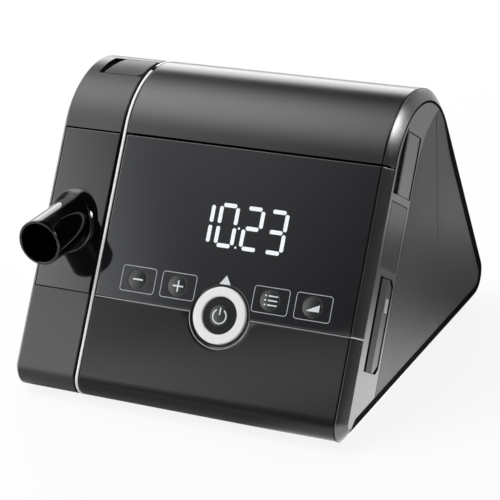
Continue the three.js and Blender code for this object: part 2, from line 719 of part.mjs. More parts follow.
// Rotor: shaft, disc, hub and leaning blades
function makeRotor() {
  const round = (radius, low, high, steps) => rodZ(radius, mainMiddle, blowerY, low, high, steps);
  const discRadius = blower.radius - blower.shell - rotor.rim;
  const bladeHigh = coverHigh - blower.roof - rotor.headroom;
  const hubHigh = discLow + rotor.hubHeight;
  const reach = discRadius - rotor.bladeInner - rotor.bladeThick;
  const blades = Array.from({ length: rotor.bladeCount }, (_, k) => {
    const half = rotor.bladeThick / 2;
    const blade = block(0, -half, discLow + rotor.discThick / 2, reach, half, bladeHigh);
    blade.rotateZ(-rotor.bladeLean).translate(rotor.bladeInner, 0, 0);
    return blade.rotateZ((k * 2 * Math.PI) / rotor.bladeCount).translate(mainMiddle, blowerY, 0);
  });
  add(machine, "rotor", join(
    round(discRadius, discLow, discHigh, fineSteps),
    round(rotor.hub, discLow, hubHigh, roundSteps),
    round(rotor.shaft, wellFloor + fit, hubHigh, smallSteps),
    ...blades,
  ), finishes.inner);
}

// Foam box between the filters and the blower's inlet, open towards the filters
function makeMuffler() {
  const left = mainMiddle - door.width / 2;
  const right = mainMiddle + door.width / 2;
  const front_ = blowerY - muffler.front;
  const low = coverHigh + fit;
  const high = low + muffler.height;
  const rear_ = rearAt(frameDepth, high) - seam;
  add(machine, "inlet_muffler", cut(
    block(left, front_, low, right, rear_, high),
    block(left + muffler.shell, front_ + muffler.shell, low + muffler.shell, right - muffler.shell,
      rear_ + overrun, high - muffler.shell),
    rodZ(blower.inlet, mainMiddle, blowerY, low - overrun, low + muffler.shell + overrun),
  ), finishes.foam);
}

// Filter door, in the rear slope's own directions: its hinge barrel is as thick as its panel
const doorLeft = width - mainMiddle - door.width / 2;
const doorRight = doorLeft + door.width;
const doorHigh = rearSeam - door.drop;
const doorLow = doorHigh - door.height;
const doorBarrel = door.thickness / 2;
const doorAxis = -door.sink - doorBarrel;

function doorPin(grow) {
  const reach = door.pinReach + grow;
  return rodX(door.pin + grow, doorLow, doorAxis, doorLeft - reach, doorRight + reach, smallSteps);
}

function doorHole() {
  const shape = rectangle(doorLeft - fit, doorLow - doorBarrel - fit, doorRight + fit, doorHigh + fit);
  return plate(shape, -wall - overrun, overrun);
}

function makeFilter() {
  const face = -door.sink;
  const back = face - door.thickness;
  const through = (shape) => plate(shape, back - overrun, face + overrun);
  const slots = Array.from({ length: door.slotCount }, (_, k) => {
    const low = doorLow + door.firstSlot + k * door.slotPitch;
    return through(rectangle(doorLeft + door.slotMargin, low, doorRight - door.slotMargin,
      low + door.slotWidth));
  });
  const middle = (doorLeft + doorRight) / 2;
  const fingerNotch = through(rectangle(middle - door.notch, doorHigh - door.notchDepth,
    middle + door.notch, doorHigh + overrun));
  const panel = plate(rectangle(doorLeft, doorLow, doorRight, doorHigh), back, face);
  const barrel = rodX(doorBarrel, doorLow, doorAxis, doorLeft, doorRight, smallSteps);
  add(rear, "filter_door", cut(join(panel, barrel, doorPin(0)), ...slots, fingerNotch), finishes.satin);

  const grown = (by) => rectangle(doorLeft - by, doorLow - by, doorRight + by, doorHigh + by);
  const lipTop = -wall - fit;
  const bottom = lipTop - filterFrame.depth;
  const floor = bottom + filterFrame.shell;
  add(rear, "filter_frame", cut(
    join(
      plate(grown(filterFrame.lip), lipTop - filterFrame.lipThick, lipTop),
      plate(grown(0), bottom, lipTop),
    ),
    plate(grown(-filterFrame.shell), floor, overrun),
    plate(grown(-filterFrame.rest - filterFrame.shell), bottom - overrun, overrun),
  ), finishes.inner);
  const inFrame = grown(-filterFrame.shell - fit);
  const pollenLow = floor + fit;
  const coarseLow = pollenLow + filters.pollen + fit;
  add(rear, "pollen_filter", plate(inFrame, pollenLow, pollenLow + filters.pollen), finishes.white);
  add(rear, "coarse_filter", plate(inFrame, coarseLow, coarseLow + filters.coarse), finishes.foam);
}

// Power inlet with a round bore towards the rear
const inletLeft = mainRight - inlet.fromRight - inlet.size;

function makeInlet() {
  const rearFace = depth - inlet.recess;
  const high = inlet.low + inlet.size;
  const body = block(inletLeft, rearFace - inlet.length, inlet.low, inletLeft + inlet.size, rearFace, high);
  const bore = rodY(inlet.bore, inletLeft + inlet.size / 2, (inlet.low + high) / 2,
    rearFace - inlet.boreDepth, rearFace + overrun);
  add(machine, "power_inlet", cut(body, bore), finishes.black);
}

// Stations of a shoulder that rounds over from the full profile to the inset one
function shoulderCurve(xAt) {
  return Array.from({ length: shoulder.steps + 1 }, (_, k) => {
    const angle = ((Math.PI / 2) * k) / shoulder.steps;
    return { x: xAt(shoulder.width * Math.sin(angle)), inset: shoulder.inset * (1 - Math.cos(angle)) };
  });
}

// A shape given in depth behind the front slope and distance up it, carried across X
function onSide(points, left, right) {
  return slab(points.map((p) => byFront(p.x, p.y)), left, right);
}

// The port strip's region: its rear edge runs up parallel to the front and bends rearward near the top
function stripRegion(grow) {
  const edge = strip.depth + grow;
  const sweep = Math.acos((strip.bend - strip.bendReach) / strip.bend);
  return [
    ...toPoints([[-strip.depth, -strip.depth], [edge, -strip.depth]]),
    ...arc(edge + strip.bend, stripStraight, strip.bend, Math.PI, Math.PI - sweep, smallSteps),
    ...toPoints([[edge + strip.bendReach, 2 * stripStraight], [-strip.depth, 2 * stripStraight]]),
  ];
}

// A flap's outline with its two rear corners cut off, and the pocket that it lies in
function flapOutline(edge, back, low, high, chamfer) {
  return toPoints([
    [edge, high],
    [edge, low],
    [back - chamfer, low],
    [back, low + chamfer],
    [back, high - chamfer],
    [back - chamfer, high],
  ]);
}

function flapPocket({ front: edge, axis, low, high, chamfer, relief, frontGap }) {
  return flapOutline(edge - fit - frontGap, axis + flapHalf + fit, low - fit, high + fit, chamfer - relief);
}

// A round rod parallel to the front slope, at a depth behind it, in the middle of the side plates
function rodUp(radius, inward, low, high, steps = smallSteps) {
  return fromFront(rodY(radius, flapMiddle, -inward, low, high, steps));
}

function flapPinAt(flap, grow) {
  const reach = flapPin.reach + grow;
  return rodUp(flapPin.radius + grow, flap.axis, flap.low + flap.chamfer - reach,
    flap.high - flap.chamfer + reach);
}

// Right shoulder: a rounded ring with a web across it, posts for the port board, and the insert beside
// the display that closes the ring between the seams
function makeRightFrame() {
  const lip = shoulder.inset + shoulder.lip;
  const ring = carry([
    ...shoulderCurve((x) => frameLeft + x),
    { x: width, inset: lip },
    { x: frameLeft, inset: lip },
  ], true);
  const insertZone = (grow) => onSide(
    rectangle(-overrun, windowLow - grow, shoulder.inset + (grow > 0 ? fit : 0), windowHigh + grow),
    frameLeft - overrun, width + overrun);
  add(machine, "right_frame_insert", common(ring, insertZone(0)), finishes.satin);

  const web = slab(outline(lip - fit), frameLeft, webRight);
  const postUps = [serviceFlap.high - portBoard.postLow, cardFlap.low - portBoard.postHigh];
  const posts = postUps.map((up) => onSide(disc(portBoard.postDepth, up, portBoard.post, smallSteps),
    portBoardRight + fit, frameLeft + shoulder.web / 2));
  const socketHoles = sockets.map((s) => onSide(
    rectangle(s.front - fit, s.low - fit, s.back + fit, s.high + fit), frameLeft - overrun,
    webRight + overrun));
  add(machine, "right_frame", cut(join(cut(ring, insertZone(seam)), web, ...posts), ...socketHoles),
    finishes.satin);
}

const sockets = [
  { name: "card_socket", ...card, low: cardFlap.low + card.margin, high: cardFlap.high - card.margin },
  { name: "service_socket", ...service, low: serviceFlap.low + service.margin,
    high: serviceFlap.high - service.margin },
];

// Plates on the right: the side panel with its fold line, the port strip with both flaps, the bare plate
function makeRightPlates() {
  const across = (points) => onSide(points, plateLeft - overrun, width + overrun);
  const face = slab(outline(shoulder.inset + shoulder.lip + fit), plateLeft, plateRight);
  const fold = block(plateRight - sideFold.depth, sideFold.y, -overrun, width + overrun,
    sideFold.y + sideFold.width, housingHeight);
  add(machine, "right_side_panel", cut(face, across(stripRegion(strip.seam)), fold), finishes.satin);

  const flaps = [cardFlap, serviceFlap];
  const blankFloor = plateRight - blankPlate.thickness;
  const blankSeat = onSide(rectangle(blankPlate.front - fit, blankLow - fit, blankPlate.back + fit,
    blankHigh + fit), blankFloor - fit, width + overrun);
  const scoopCut = common(
    onSide(rectangle(scoop.front, cardFlap.low - scoop.below, scoop.back, cardFlap.high + scoop.above),
      plateRight - scoop.depth, width + overrun),
    slab(outline(scoop.front), plateLeft, width + overrun),
  );
  add(machine, "port_strip", cut(
    common(face, across(stripRegion(0))),
    ...flaps.map((flap) => across(flapPocket(flap))),
    ...flaps.map((flap) => flapPinAt(flap, fit)),
    blankSeat,
    scoopCut,
  ), finishes.satin);
  add(machine, "blank_plate", onSide(
    rectangle(blankPlate.front, blankLow, blankPlate.back, blankHigh), blankFloor, plateRight,
  ), finishes.satin);

  for (const [name, flap] of [["sd_flap", cardFlap], ["service_flap", serviceFlap]]) {
    const shape = flapOutline(flap.front, flap.axis, flap.low, flap.high, flap.chamfer);
    const barrelLow = flap.low + flap.chamfer;
    const barrelHigh = flap.high - flap.chamfer;
    add(machine, name, join(
      onSide(shape, flapMiddle - flapHalf, flapMiddle + flapHalf),
      rodUp(flapHalf, flap.axis, barrelLow, barrelHigh),
      flapPinAt(flap, 0),
    ), finishes.satin);
  }
}

// Port board with the card socket and the service socket
function makePorts() {
  add(machine, "port_board", onSide(
    rectangle(portBoard.front, serviceFlap.low + portBoard.low, portBoard.back,
      cardFlap.high + portBoard.high),
    portBoardLeft,
    portBoardRight,
  ), finishes.board);
  for (const { name, front: edge, back, low, high, slot } of sockets) {
    const middle = (edge + back) / 2;
    const mouth = webRight - fit;
    const slotShape = rectangle(middle - slot / 2, low + socket.slotMargin, middle + slot / 2,
      high - socket.slotMargin);
    add(machine, name, cut(
      onSide(rectangle(edge, low, back, high), portBoardRight + fit, mouth),
      onSide(slotShape, mouth - socket.slotDepth, mouth + overrun),
    ), finishes.steel);
  }
}

// Side section: shell with the left shoulder, gloss front panel, inner wall, air chamber and connector
const manifoldFront = frontAt(wall + manifold.behind, manifold.high);
const outletHole = (grow) => rodY(outlet.rootRadius + grow, outlet.x, outlet.z, -overrun,
  manifoldFront + manifold.shell + overrun, fineSteps);

function makeSideShell() {
  const outer = carry([{ x: sideWidth, inset: 0 }, ...shoulderCurve((x) => shoulder.width - x)]);
  const inner = carry([
    { x: sideWidth + overrun, inset: wall },
    { x: shoulder.width + wall / 2, inset: wall },
    { x: wall, inset: wall + shoulder.inset / 2 },
  ]);
  const panelLeft = shoulder.width + fit;
  const panelSeat = fromFront(plate(
    rectangle(panelLeft - fit, windowLow - fit, sideWidth + overrun, windowHigh + fit),
    -sidePanelThick - fit, overrun));
  const pocket = fromTop(plate(releaseShape(fit), apexRadius - 2 * wall, apexRadius + overrun));
  add(machine, "side_shell", cut(outer, inner, panelSeat, outletHole(fit), pocket), finishes.satin);

  const panel = plate(rectangle(panelLeft, windowLow, sideWidth - fit, windowHigh), -sidePanelThick, 0);
  add(front, "side_front_panel", cut(panel, toFront(outletHole(fit))), finishes.gloss);

  const buttonHalf = release.halfLength + 2 * release.flangeReach;
  const notch = fromTop(block(innerWallLeft - overrun, -buttonHalf, tongueLow - release.travel - fit,
    innerWallRight + overrun, buttonHalf, apexRadius));
  add(machine, "side_inner_wall", cut(
    slab(outline(wall + fit), innerWallLeft, innerWallRight),
    rodX(ductRadius + fit, portY, portZ, innerWallLeft - overrun, innerWallRight + overrun),
    notch,
  ), finishes.inner);
}

function makeOutlet() {
  const left = wall + manifold.sideGap;
  const right = innerWallLeft - fit;
  const rearFace = manifoldFront + manifold.length;
  const shell = manifold.shell;
  add(machine, "outlet_manifold", cut(
    join(
      block(left, manifoldFront, manifold.low, right, rearFace, manifold.high),
      rodX(ductRadius, portY, portZ, right - shell, sideWidth),
    ),
    block(left + shell, manifoldFront + shell, manifold.low + shell, right - shell, rearFace - shell,
      manifold.high - shell),
    outletHole(fit),
    rodX(port.bore, portY, portZ, right - 2 * shell, sideWidth + overrun),
  ), finishes.inner);

  const tubeEnd = manifoldFront + shell + outlet.reachIn;
  const tube = new THREE.LatheGeometry(toPoints([
    [outlet.bore, outlet.end],
    [outlet.endRadius - outlet.edge, outlet.end],
    [outlet.endRadius, outlet.end + outlet.edge],
    [outlet.rootRadius, tubeEnd],
    [outlet.bore, tubeEnd],
    [outlet.bore, outlet.end],
  ]), fineSteps).translate(outlet.x, 0, outlet.z);
  const rootUp = (outlet.z - frontBase.y) / frontUp.y;
  const across = outlet.rootRadius + outlet.collarAcross;
  const along = outlet.rootRadius / frontUp.y + outlet.collarUp;
  const collarShape = disc(0, 0, 1, fineSteps).map((p) =>
    new THREE.Vector2(outlet.x + p.x * across, rootUp + p.y * along));
  const collar = cut(
    fromFront(plate(collarShape, fit, fit + outlet.collarThick)),
    rodY(outlet.bore + outlet.edge, outlet.x, outlet.z, -overrun, tubeEnd, fineSteps),
  );
  add(machine, "outlet_tube", join(tube, collar), finishes.black);
}

// Release button: curved cap flush with the top, a flange under the shell and a tongue to the bulkhead
function releaseShape(grow) {
  const gap = grow > 0 ? release.fingerGap : 0;
  const right = grow > 0 ? sideWidth + overrun : sideWidth - release.edge;
  const half = release.halfLength + grow;
  return toPoints([
    [release.left - gap, -half],
    [right, -half],
    [right, half],
    [release.left + release.slant - gap, half],
  ]);
}

function makeReleaseButton() {
  const drum = (radius, left, right) => {
    const rod = new THREE.CylinderGeometry(radius, radius, right - left, 4 * fineSteps);
    return rod.rotateZ(Math.PI / 2).translate((left + right) / 2, 0, 0);
  };
  const flangeTop = apexRadius - wall - fit;
  const flangeBack = flangeTop - release.flange;
  const flangeHalf = release.halfLength + release.flangeReach;
  const cap = common(
    plate(releaseShape(0), flangeTop - release.flange / 2, apexRadius + overrun),
    drum(apexRadius, 0, width),
  );
  const flange = common(
    block(release.left - release.fingerGap - release.flangeReach, -flangeHalf, flangeBack - release.flange,
      innerWallLeft - fit, flangeHalf, apexRadius),
    cut(drum(flangeTop, 0, width), drum(flangeBack, -overrun, width + overrun)),
  );
  const half = release.tongueHalf;
  const stem = block(release.stemLeft, -half, tongueLow, release.stemLeft + release.stemWidth, half,
    flangeTop - release.flange / 2);
  const tongue = block(release.stemLeft, -half, tongueLow, bulkheadRight - release.tongueShort, half,
    tongueHigh);
  add(top, "release_button", join(cap, flange, stem, tongue), finishes.satin);
}

makeDisplay();
makeKeys();
makeDisplayStack();
makeSeamTrim();
makeShells();
makeBase();
makeBulkhead();
makeBlower();
makeRotor();
makeMuffler();
makeFilter();
makeInlet();
makeRightFrame();
makeRightPlates();
makePorts();
makeSideShell();
makeOutlet();
makeReleaseButton();

export default machine;
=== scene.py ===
"""Bedside CPAP machine: the visible surfaces, finishes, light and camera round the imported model."""

import math

import bmesh
import bpy
import numpy as np
from mathutils import Matrix, Quaternion, Vector
from mathutils.geometry import tessellate_polygon


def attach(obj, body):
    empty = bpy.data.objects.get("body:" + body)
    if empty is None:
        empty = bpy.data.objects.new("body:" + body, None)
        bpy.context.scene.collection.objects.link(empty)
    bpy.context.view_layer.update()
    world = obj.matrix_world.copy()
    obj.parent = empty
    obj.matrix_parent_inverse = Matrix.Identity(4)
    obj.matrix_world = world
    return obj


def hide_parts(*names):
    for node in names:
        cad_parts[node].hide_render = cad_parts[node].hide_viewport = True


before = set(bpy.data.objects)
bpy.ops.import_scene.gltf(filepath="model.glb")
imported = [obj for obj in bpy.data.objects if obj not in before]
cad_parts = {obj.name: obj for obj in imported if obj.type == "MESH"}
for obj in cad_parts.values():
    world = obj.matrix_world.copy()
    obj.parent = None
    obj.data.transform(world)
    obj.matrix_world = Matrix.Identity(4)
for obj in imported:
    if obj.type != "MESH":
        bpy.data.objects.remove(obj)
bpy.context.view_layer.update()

# Lengths are millimetres from the housing's lower left front corner until a mesh is filled.
CORNER = np.array((85.0, 90.0, -2.0))
MILLIMETRE = 0.001

# Housing: slope of the front, the three corner radii and the two tangent faces between them
SLOPE = math.radians(59)
FRONT_CORNER = (8.5, 8.5, 8.5)
APEX = (96.248, 92.6, 40.4)
REAR_CORNER = (165.2, 14.8, 14.8)
REAR_ANGLE = math.radians(27.294)
FRONT_ANGLE = SLOPE + math.pi / 2
FRONT_LENGTH = 117.281
REAR_LENGTH = 100.756
BOTTOM_LENGTH = 156.7
WALL = 3.0

# Covers: the round of their edges, its rows of points, and their grids' steps across and along
COVER_EDGE, ACROSS_STEP, ALONG_STEP = 0.3, 4.0, 1.6
EDGE_ROWS = 5

# Places across the width
SIDE_RIGHT, TUBE_X = 34.0, 17.2
STRIP_LEFT, STRIP_RIGHT = 35.0, 36.3
MAIN_LEFT, MAIN_RIGHT = 36.9, 165.6
FRAME_LEFT, WIDTH = 165.9, 170.0
MIDDLE = 101.85
SHOULDER, SHOULDER_INSET, RIM_INSET = 4.1, 5.2, 6.0

# Places up the front slope
TRIM_LOW, TRIM_HIGH = 37.0, 37.4
WINDOW_LOW, WINDOW_HIGH = 37.7, 113.681
UPPER_EDGE = 114.7
POWER_UP, KEY_UP = 37.35, 47.6
KEY_PLACES = {"minus_key": 57.15, "plus_key": 77.95, "menu_key": 124.55, "ramp_key": 145.35}
LOBE = 14.65

# Arc lengths of the profile, counted up the front from the foot of its slope and over the top
CORNER_ARC = FRONT_CORNER[2] * (1.5 * math.pi - FRONT_ANGLE)
TOP_ARC = APEX[2] * (FRONT_ANGLE - REAR_ANGLE)
REAR_ARC = REAR_CORNER[2] * (REAR_ANGLE + math.pi / 2)
REAR_START = FRONT_LENGTH + TOP_ARC
REAR_END = REAR_START + REAR_LENGTH
BOTTOM_START = REAR_END + REAR_ARC
LOOP = BOTTOM_START + BOTTOM_LENGTH + CORNER_ARC
REAR_SEAM = REAR_START + 12.7
NOTCH = (152.0, 157.2)

# Round pieces of the front
DISC_STEPS = 96
KEY_RADIUS, POWER_RADIUS = 4.7, 4.9
PRINT = 0.02


def skin(x, along, out=0.0):
    """Points on the housing. The profile is made of three arcs, centre + (radius + out)(cos a, sin a) with a
    falling by arc length over radius, and of three straight faces, start + length direction + out normal."""
    x, along, out = np.broadcast_arrays(x, along, out)
    place = np.where(along > LOOP - CORNER_ARC, along - LOOP, along)
    y, z = np.zeros(x.shape), np.zeros(x.shape)
    arcs = (
        (-CORNER_ARC, 0.0, FRONT_CORNER, FRONT_ANGLE, 0.0),
        (FRONT_LENGTH, REAR_START, APEX, FRONT_ANGLE, FRONT_LENGTH),
        (REAR_END, BOTTOM_START, REAR_CORNER, REAR_ANGLE, REAR_END),
    )
    for first, last, (cy, cz, radius), angle, start in arcs:
        here = (place >= first) & (place <= last)
        turn = angle - (place - start) / radius
        y = np.where(here, cy + (radius + out) * np.cos(turn), y)
        z = np.where(here, cz + (radius + out) * np.sin(turn), z)
    faces = (
        (0.0, FRONT_LENGTH, FRONT_CORNER, FRONT_ANGLE, 0.0),
        (REAR_START, REAR_END, APEX, REAR_ANGLE, REAR_START),
        (BOTTOM_START, LOOP - CORNER_ARC, REAR_CORNER, -math.pi / 2, BOTTOM_START),
    )
    for first, last, (cy, cz, radius), angle, start in faces:
        here = (place > first) & (place < last)
        ny, nz = math.cos(angle), math.sin(angle)
        reach = place - start
        y = np.where(here, cy + (radius + out) * ny + reach * nz, y)
        z = np.where(here, cz + (radius + out) * nz - reach * ny, z)
    low = place < -CORNER_ARC
    y = np.where(low, FRONT_CORNER[0] - (place + CORNER_ARC), y)
    z = np.where(low, FRONT_CORNER[1] - FRONT_CORNER[2] - out, z)
    return np.stack((x, y, z), -1)


def rolled(distance, radius):
    """How far a rounded edge lies under its face: radius - sqrt(radius^2 - (radius - distance)^2)."""
    short = np.clip(radius - distance, 0.0, radius)
    return radius - np.sqrt(radius**2 - short**2)


def quarter(count):
    """Angles from 0 to 90 degrees."""
    return np.linspace(0, math.pi / 2, count)


def graded(stops, radius, step):
    """Places between stops, even steps apart, and closer by 1 - cos a where an edge rolls over at a stop."""
    roll = radius * (1 - np.cos(quarter(EDGE_ROWS)))
    parts = []
    for low, high in zip(stops[:-1], stops[1:]):
        near, far = low + radius + 0.15, high - radius - 0.15
        count = max(2, math.ceil((far - near) / step) + 1)
        parts += [low + roll, np.linspace(near, far, count), high - roll[::-1]]
    return np.unique(np.round(np.concatenate(parts), 6))


def grid(first, second):
    """Two grids that hold the places of two lists, the first along the rows."""
    return np.meshgrid(first, second, indexing="ij")


def lifted(flat, level):
    """Flat places with a level, or a list of levels, as their third number."""
    return np.column_stack((flat, np.full(len(flat), level)))


def shell_faces(kept, start=0):
    """Faces of a front and a back grid, with walls between them along each edge of the kept cells."""
    rows, columns = kept.shape[0] + 1, kept.shape[1] + 1
    index = np.arange(rows * columns).reshape(rows, columns) + start
    corners = (index[:-1, :-1], index[1:, :-1], index[1:, 1:], index[:-1, 1:])
    front = np.stack(corners, -1)[kept]
    behind = rows * columns
    padded = np.pad(kept, 1)
    parts = [front, front[:, ::-1] + behind]
    for k, (di, dj) in enumerate(((0, -1), (1, 0), (0, 1), (-1, 0))):
        open_side = kept & ~padded[1 + di:rows + di, 1 + dj:columns + dj]
        p, q = corners[k][open_side], corners[(k + 1) % 4][open_side]
        parts.append(np.stack((q, p, p + behind, q + behind), -1))
    return np.concatenate(parts)


def grid_faces(rows, columns, start=0, around=False):
    """Faces of a grid of points in rows, joined round the rows' ends if around is set."""
    i, j = grid(np.arange(rows - 1), np.arange(columns if around else columns - 1))
    a, b = i * columns + j, i * columns + (j + 1) % columns
    return np.stack((a, b, b + columns, a + columns), -1).reshape(-1, 4) + start


def ring_faces(rings, steps):
    """Faces of a closed section of rings of points, steps to a ring, carried round to its own start."""
    return grid_faces(rings + 1, steps, around=True) % (rings * steps)


def rod_faces(rings, steps):
    """Faces of a closed section carried along steps places, with a cap at each end."""
    sides = grid_faces(rings + 1, steps) % (rings * steps)
    ends = np.arange(rings) * steps
    return [*map(tuple, sides), tuple(ends), tuple(ends + steps - 1)]


def plate_faces(outlines, start=0):
    """Faces of a plate with holes, from its outline and its holes' outlines, each given on both its sides."""
    count = sum(map(len, outlines))
    triangles = tessellate_polygon([[Vector((x, y, 0)) for x, y in o] for o in outlines])
    faces = [tuple(i + start for i in t) for t in triangles]
    faces += [tuple(i + start + count for i in reversed(t)) for t in triangles]
    for outline in outlines:
        a = start + np.arange(len(outline))
        b = np.roll(a, -1)
        faces += map(tuple, np.stack((a, b, b + count, a + count), -1))
        start += len(outline)
    return faces


def every_cell(places):
    """The cells of a grid of places, all kept."""
    return np.ones((places.shape[0] - 1, places.shape[1] - 1), bool)


def cell_middles(*grids):
    """The middle of each cell of each grid, from two corners across it."""
    return [(g[1:, 1:] + g[:-1, :-1]) / 2 for g in grids]


def two_sided(outer, inner):
    """Points of an outer and an inner grid, in the order of shell_faces."""
    return np.concatenate((outer.reshape(-1, 3), inner.reshape(-1, 3)))


def finished(name, points, faces, material, body, stands_for=()):
    """A piece from points in millimetres and faces: doubles merged, loose points dropped, faces turned out."""
    place = (np.asarray(points, float).reshape(-1, 3) - CORNER) * MILLIMETRE
    mesh = bpy.data.meshes.new(name)
    mesh.from_pydata(place.tolist(), [], [tuple(map(int, face)) for face in faces])
    work = bmesh.new()
    work.from_mesh(mesh)
    bmesh.ops.remove_doubles(work, verts=work.verts, dist=2e-6)
    bmesh.ops.delete(work, geom=[v for v in work.verts if not v.link_faces], context="VERTS")
    bmesh.ops.recalc_face_normals(work, faces=work.faces)
    work.to_mesh(mesh)
    work.free()
    mesh.shade_smooth()
    mesh.set_sharp_from_angle(angle=math.radians(40))
    mesh.materials.append(material)
    piece = bpy.data.objects.new(name, mesh)
    bpy.context.scene.collection.objects.link(piece)
    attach(piece, body)
    if stands_for:
        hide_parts(*stands_for)


def covering(name, x, along, edge, radius, material, body, stands_for=(), kept=None, thickness=WALL):
    """A moulded cover wrapped on the housing: the outer face drops by the rounded edge's depth, and the inner
    face lies a wall's thickness under it. Without kept, all cells of the grid are."""
    points = two_sided(skin(x, along, -rolled(edge, radius)), skin(x, along, -thickness))
    faces = shell_faces(every_cell(x) if kept is None else kept)
    finished(name, points, faces, material, body, stands_for)


def from_sides(x, along, left, right, low, high):
    """Distance of each point to the nearest side of a rectangle."""
    return np.minimum(np.minimum(x - left, right - x), np.minimum(along - low, high - along))


# Finishes
def node(tree, kind, **sockets):
    """A node whose inputs are values or other nodes' sockets."""
    made = tree.nodes.new(kind)
    for name, value in sockets.items():
        fill(tree, made.inputs[name.replace("_", " ")], value)
    return made


def fill(tree, socket, value):
    """Links an input to another node's socket, or sets it to a value."""
    if isinstance(value, bpy.types.NodeSocket):
        tree.links.new(value, socket)
    else:
        socket.default_value = value


def maths(tree, operation, *values, kind="ShaderNodeMath"):
    """The result of a maths node whose inputs are sockets or numbers."""
    made = tree.nodes.new(kind)
    made.operation = operation
    for socket, value in zip(made.inputs, values):
        fill(tree, socket, value)
    return made.outputs["Value"]


def effect(name, inputs, outputs):
    """An empty shader group with named inputs, given as kind and value, and named outputs."""
    tree = bpy.data.node_groups.new(name, "ShaderNodeTree")
    for label, (kind, value) in inputs.items():
        made = tree.interface.new_socket(label, in_out="INPUT", socket_type=kind)
        made.default_value = value
    for label, kind in outputs.items():
        tree.interface.new_socket(label, in_out="OUTPUT", socket_type=kind)
    return tree, tree.nodes.new("NodeGroupInput"), tree.nodes.new("NodeGroupOutput")


def moulding_effect():
    """Moulded plastic: fine grain in the normal, and a slow drift of gloss and tone."""
    inputs = {
        "Colour": ("NodeSocketColor", (0.5, 0.5, 0.5, 1.0)),
        "Roughness": ("NodeSocketFloat", 0.4),
        "Grain size": ("NodeSocketFloat", 3000.0),
        "Grain depth": ("NodeSocketFloat", 0.1),
        "Drift": ("NodeSocketFloat", 0.1),
    }
    tree, inside, outside = effect("moulding", inputs, {
        "Colour": "NodeSocketColor", "Roughness": "NodeSocketFloat", "Normal": "NodeSocketVector",
    })
    place = tree.nodes.new("ShaderNodeTexCoord").outputs["Object"]
    given = inside.outputs
    grain = node(tree, "ShaderNodeTexNoise", Vector=place, Scale=given["Grain size"], Detail=2.0, Roughness=0.6)
    bump = node(tree, "ShaderNodeBump", Distance=0.0001, Strength=given["Grain depth"],
                Height=grain.outputs["Fac"])
    slow = node(tree, "ShaderNodeTexNoise", Vector=place, Scale=28.0, Detail=4.0, Roughness=0.55)
    spread = node(tree, "ShaderNodeMapRange", Value=slow.outputs["Fac"], From_Min=0.3, From_Max=0.7,
                  To_Min=-1.0, To_Max=1.0)
    amount = maths(tree, "MULTIPLY", spread.outputs["Result"], given["Drift"])
    rough = maths(tree, "MULTIPLY_ADD", amount, given["Roughness"], given["Roughness"])
    lift = maths(tree, "MULTIPLY_ADD", amount, 0.5, 1.0)
    tone = node(tree, "ShaderNodeHueSaturation", Color=given["Colour"], Value=lift)
    tree.links.new(tone.outputs["Color"], outside.inputs["Colour"])
    tree.links.new(rough, outside.inputs["Roughness"])
    tree.links.new(bump.outputs["Normal"], outside.inputs["Normal"])
    return tree


MOULDING = moulding_effect()


def plastic(name, colour, roughness, grain_size=3500.0, grain_depth=0.15, drift=0.08, **shader):
    """A material of the moulding effect. Other shader values are set on the shader's own sockets."""
    material = bpy.data.materials.new(name)
    material.use_nodes = True
    tree = material.node_tree
    principled = tree.nodes["Principled BSDF"]
    group = tree.nodes.new("ShaderNodeGroup")
    group.node_tree = MOULDING
    values = {"Colour": (*colour, 1.0), "Roughness": roughness, "Grain size": grain_size,
              "Grain depth": grain_depth, "Drift": drift}
    for socket, value in values.items():
        group.inputs[socket].default_value = value
    for socket, target in (("Colour", "Base Color"), ("Roughness", "Roughness"), ("Normal", "Normal")):
        tree.links.new(group.outputs[socket], principled.inputs[target])
    for socket, value in shader.items():
        principled.inputs[socket.replace("_", " ")].default_value = value
    return material


def shade(red, green, blue):
    """A colour as it is seen, 0 to 255, turned to linear light: ((c + 0.055) / 1.055)^2.4."""
    seen = np.array((red, green, blue)) / 255
    return tuple(np.where(seen > 0.04045, ((seen + 0.055) / 1.055) ** 2.4, seen / 12.92))


satin = plastic("satin_housing", shade(25, 26, 26), 0.21, 4200.0, 0.12)
cap_satin = plastic("satin_button", shade(40, 41, 41), 0.42, 2600.0, 0.4)
cover_satin = plastic("satin_lower_cover", shade(30, 31, 31), 0.13, 4200.0, 0.12, Specular_IOR_Level=0.2)
module_satin = plastic("satin_side_section", shade(29, 30, 30), 0.3, 3600.0, 0.25)
rim_satin = plastic("sparkling_rim", shade(30, 30, 29), 0.2, 2600.0, 0.6, IOR=1.7)
side_grain = plastic("grained_side", shade(30, 31, 31), 0.42, 2200.0, 0.8)
port_satin = plastic("satin_port_strip", shade(34, 35, 35), 0.26, 3000.0, 0.35, IOR=2.0)
flap_satin = plastic("satin_service_flap", shade(34, 35, 35), 0.34, 3000.0, 0.35, IOR=1.6)
panel_gloss = plastic("gloss_panel", shade(6, 7, 7), 0.07, 900.0, 0.006, 0.03, IOR=1.58)
window_glass = plastic("dark_window", shade(23, 24, 26), 0.06, 600.0, 0.004, 0.03, IOR=1.58,
                       Specular_Tint=(0.94, 0.96, 1.0, 1.0))
key_skin = plastic("key_skin", shade(24, 27, 29), 0.3, 3000.0, 0.05, Specular_IOR_Level=0.35)
tube_black = plastic("polished_tube", shade(5, 5, 5), 0.04, 500.0, 0.004, 0.03)
strip_white = plastic("strip_white", shade(246, 246, 244), 0.35, 2500.0, 0.05, 0.02)
ring_white = plastic("ring_white", shade(238, 239, 238), 0.4, 2500.0, 0.08, 0.03)
line_silver = plastic("line_silver", shade(152, 153, 155), 0.3, 2000.0, 0.05, 0.05, Metallic=0.7)
ink_white = plastic("printed_white", shade(226, 230, 232), 0.5, 4000.0, 0.05, 0.03)
frame_grey = plastic("printed_grey", shade(186, 190, 193), 0.5, 4000.0, 0.05, 0.03)
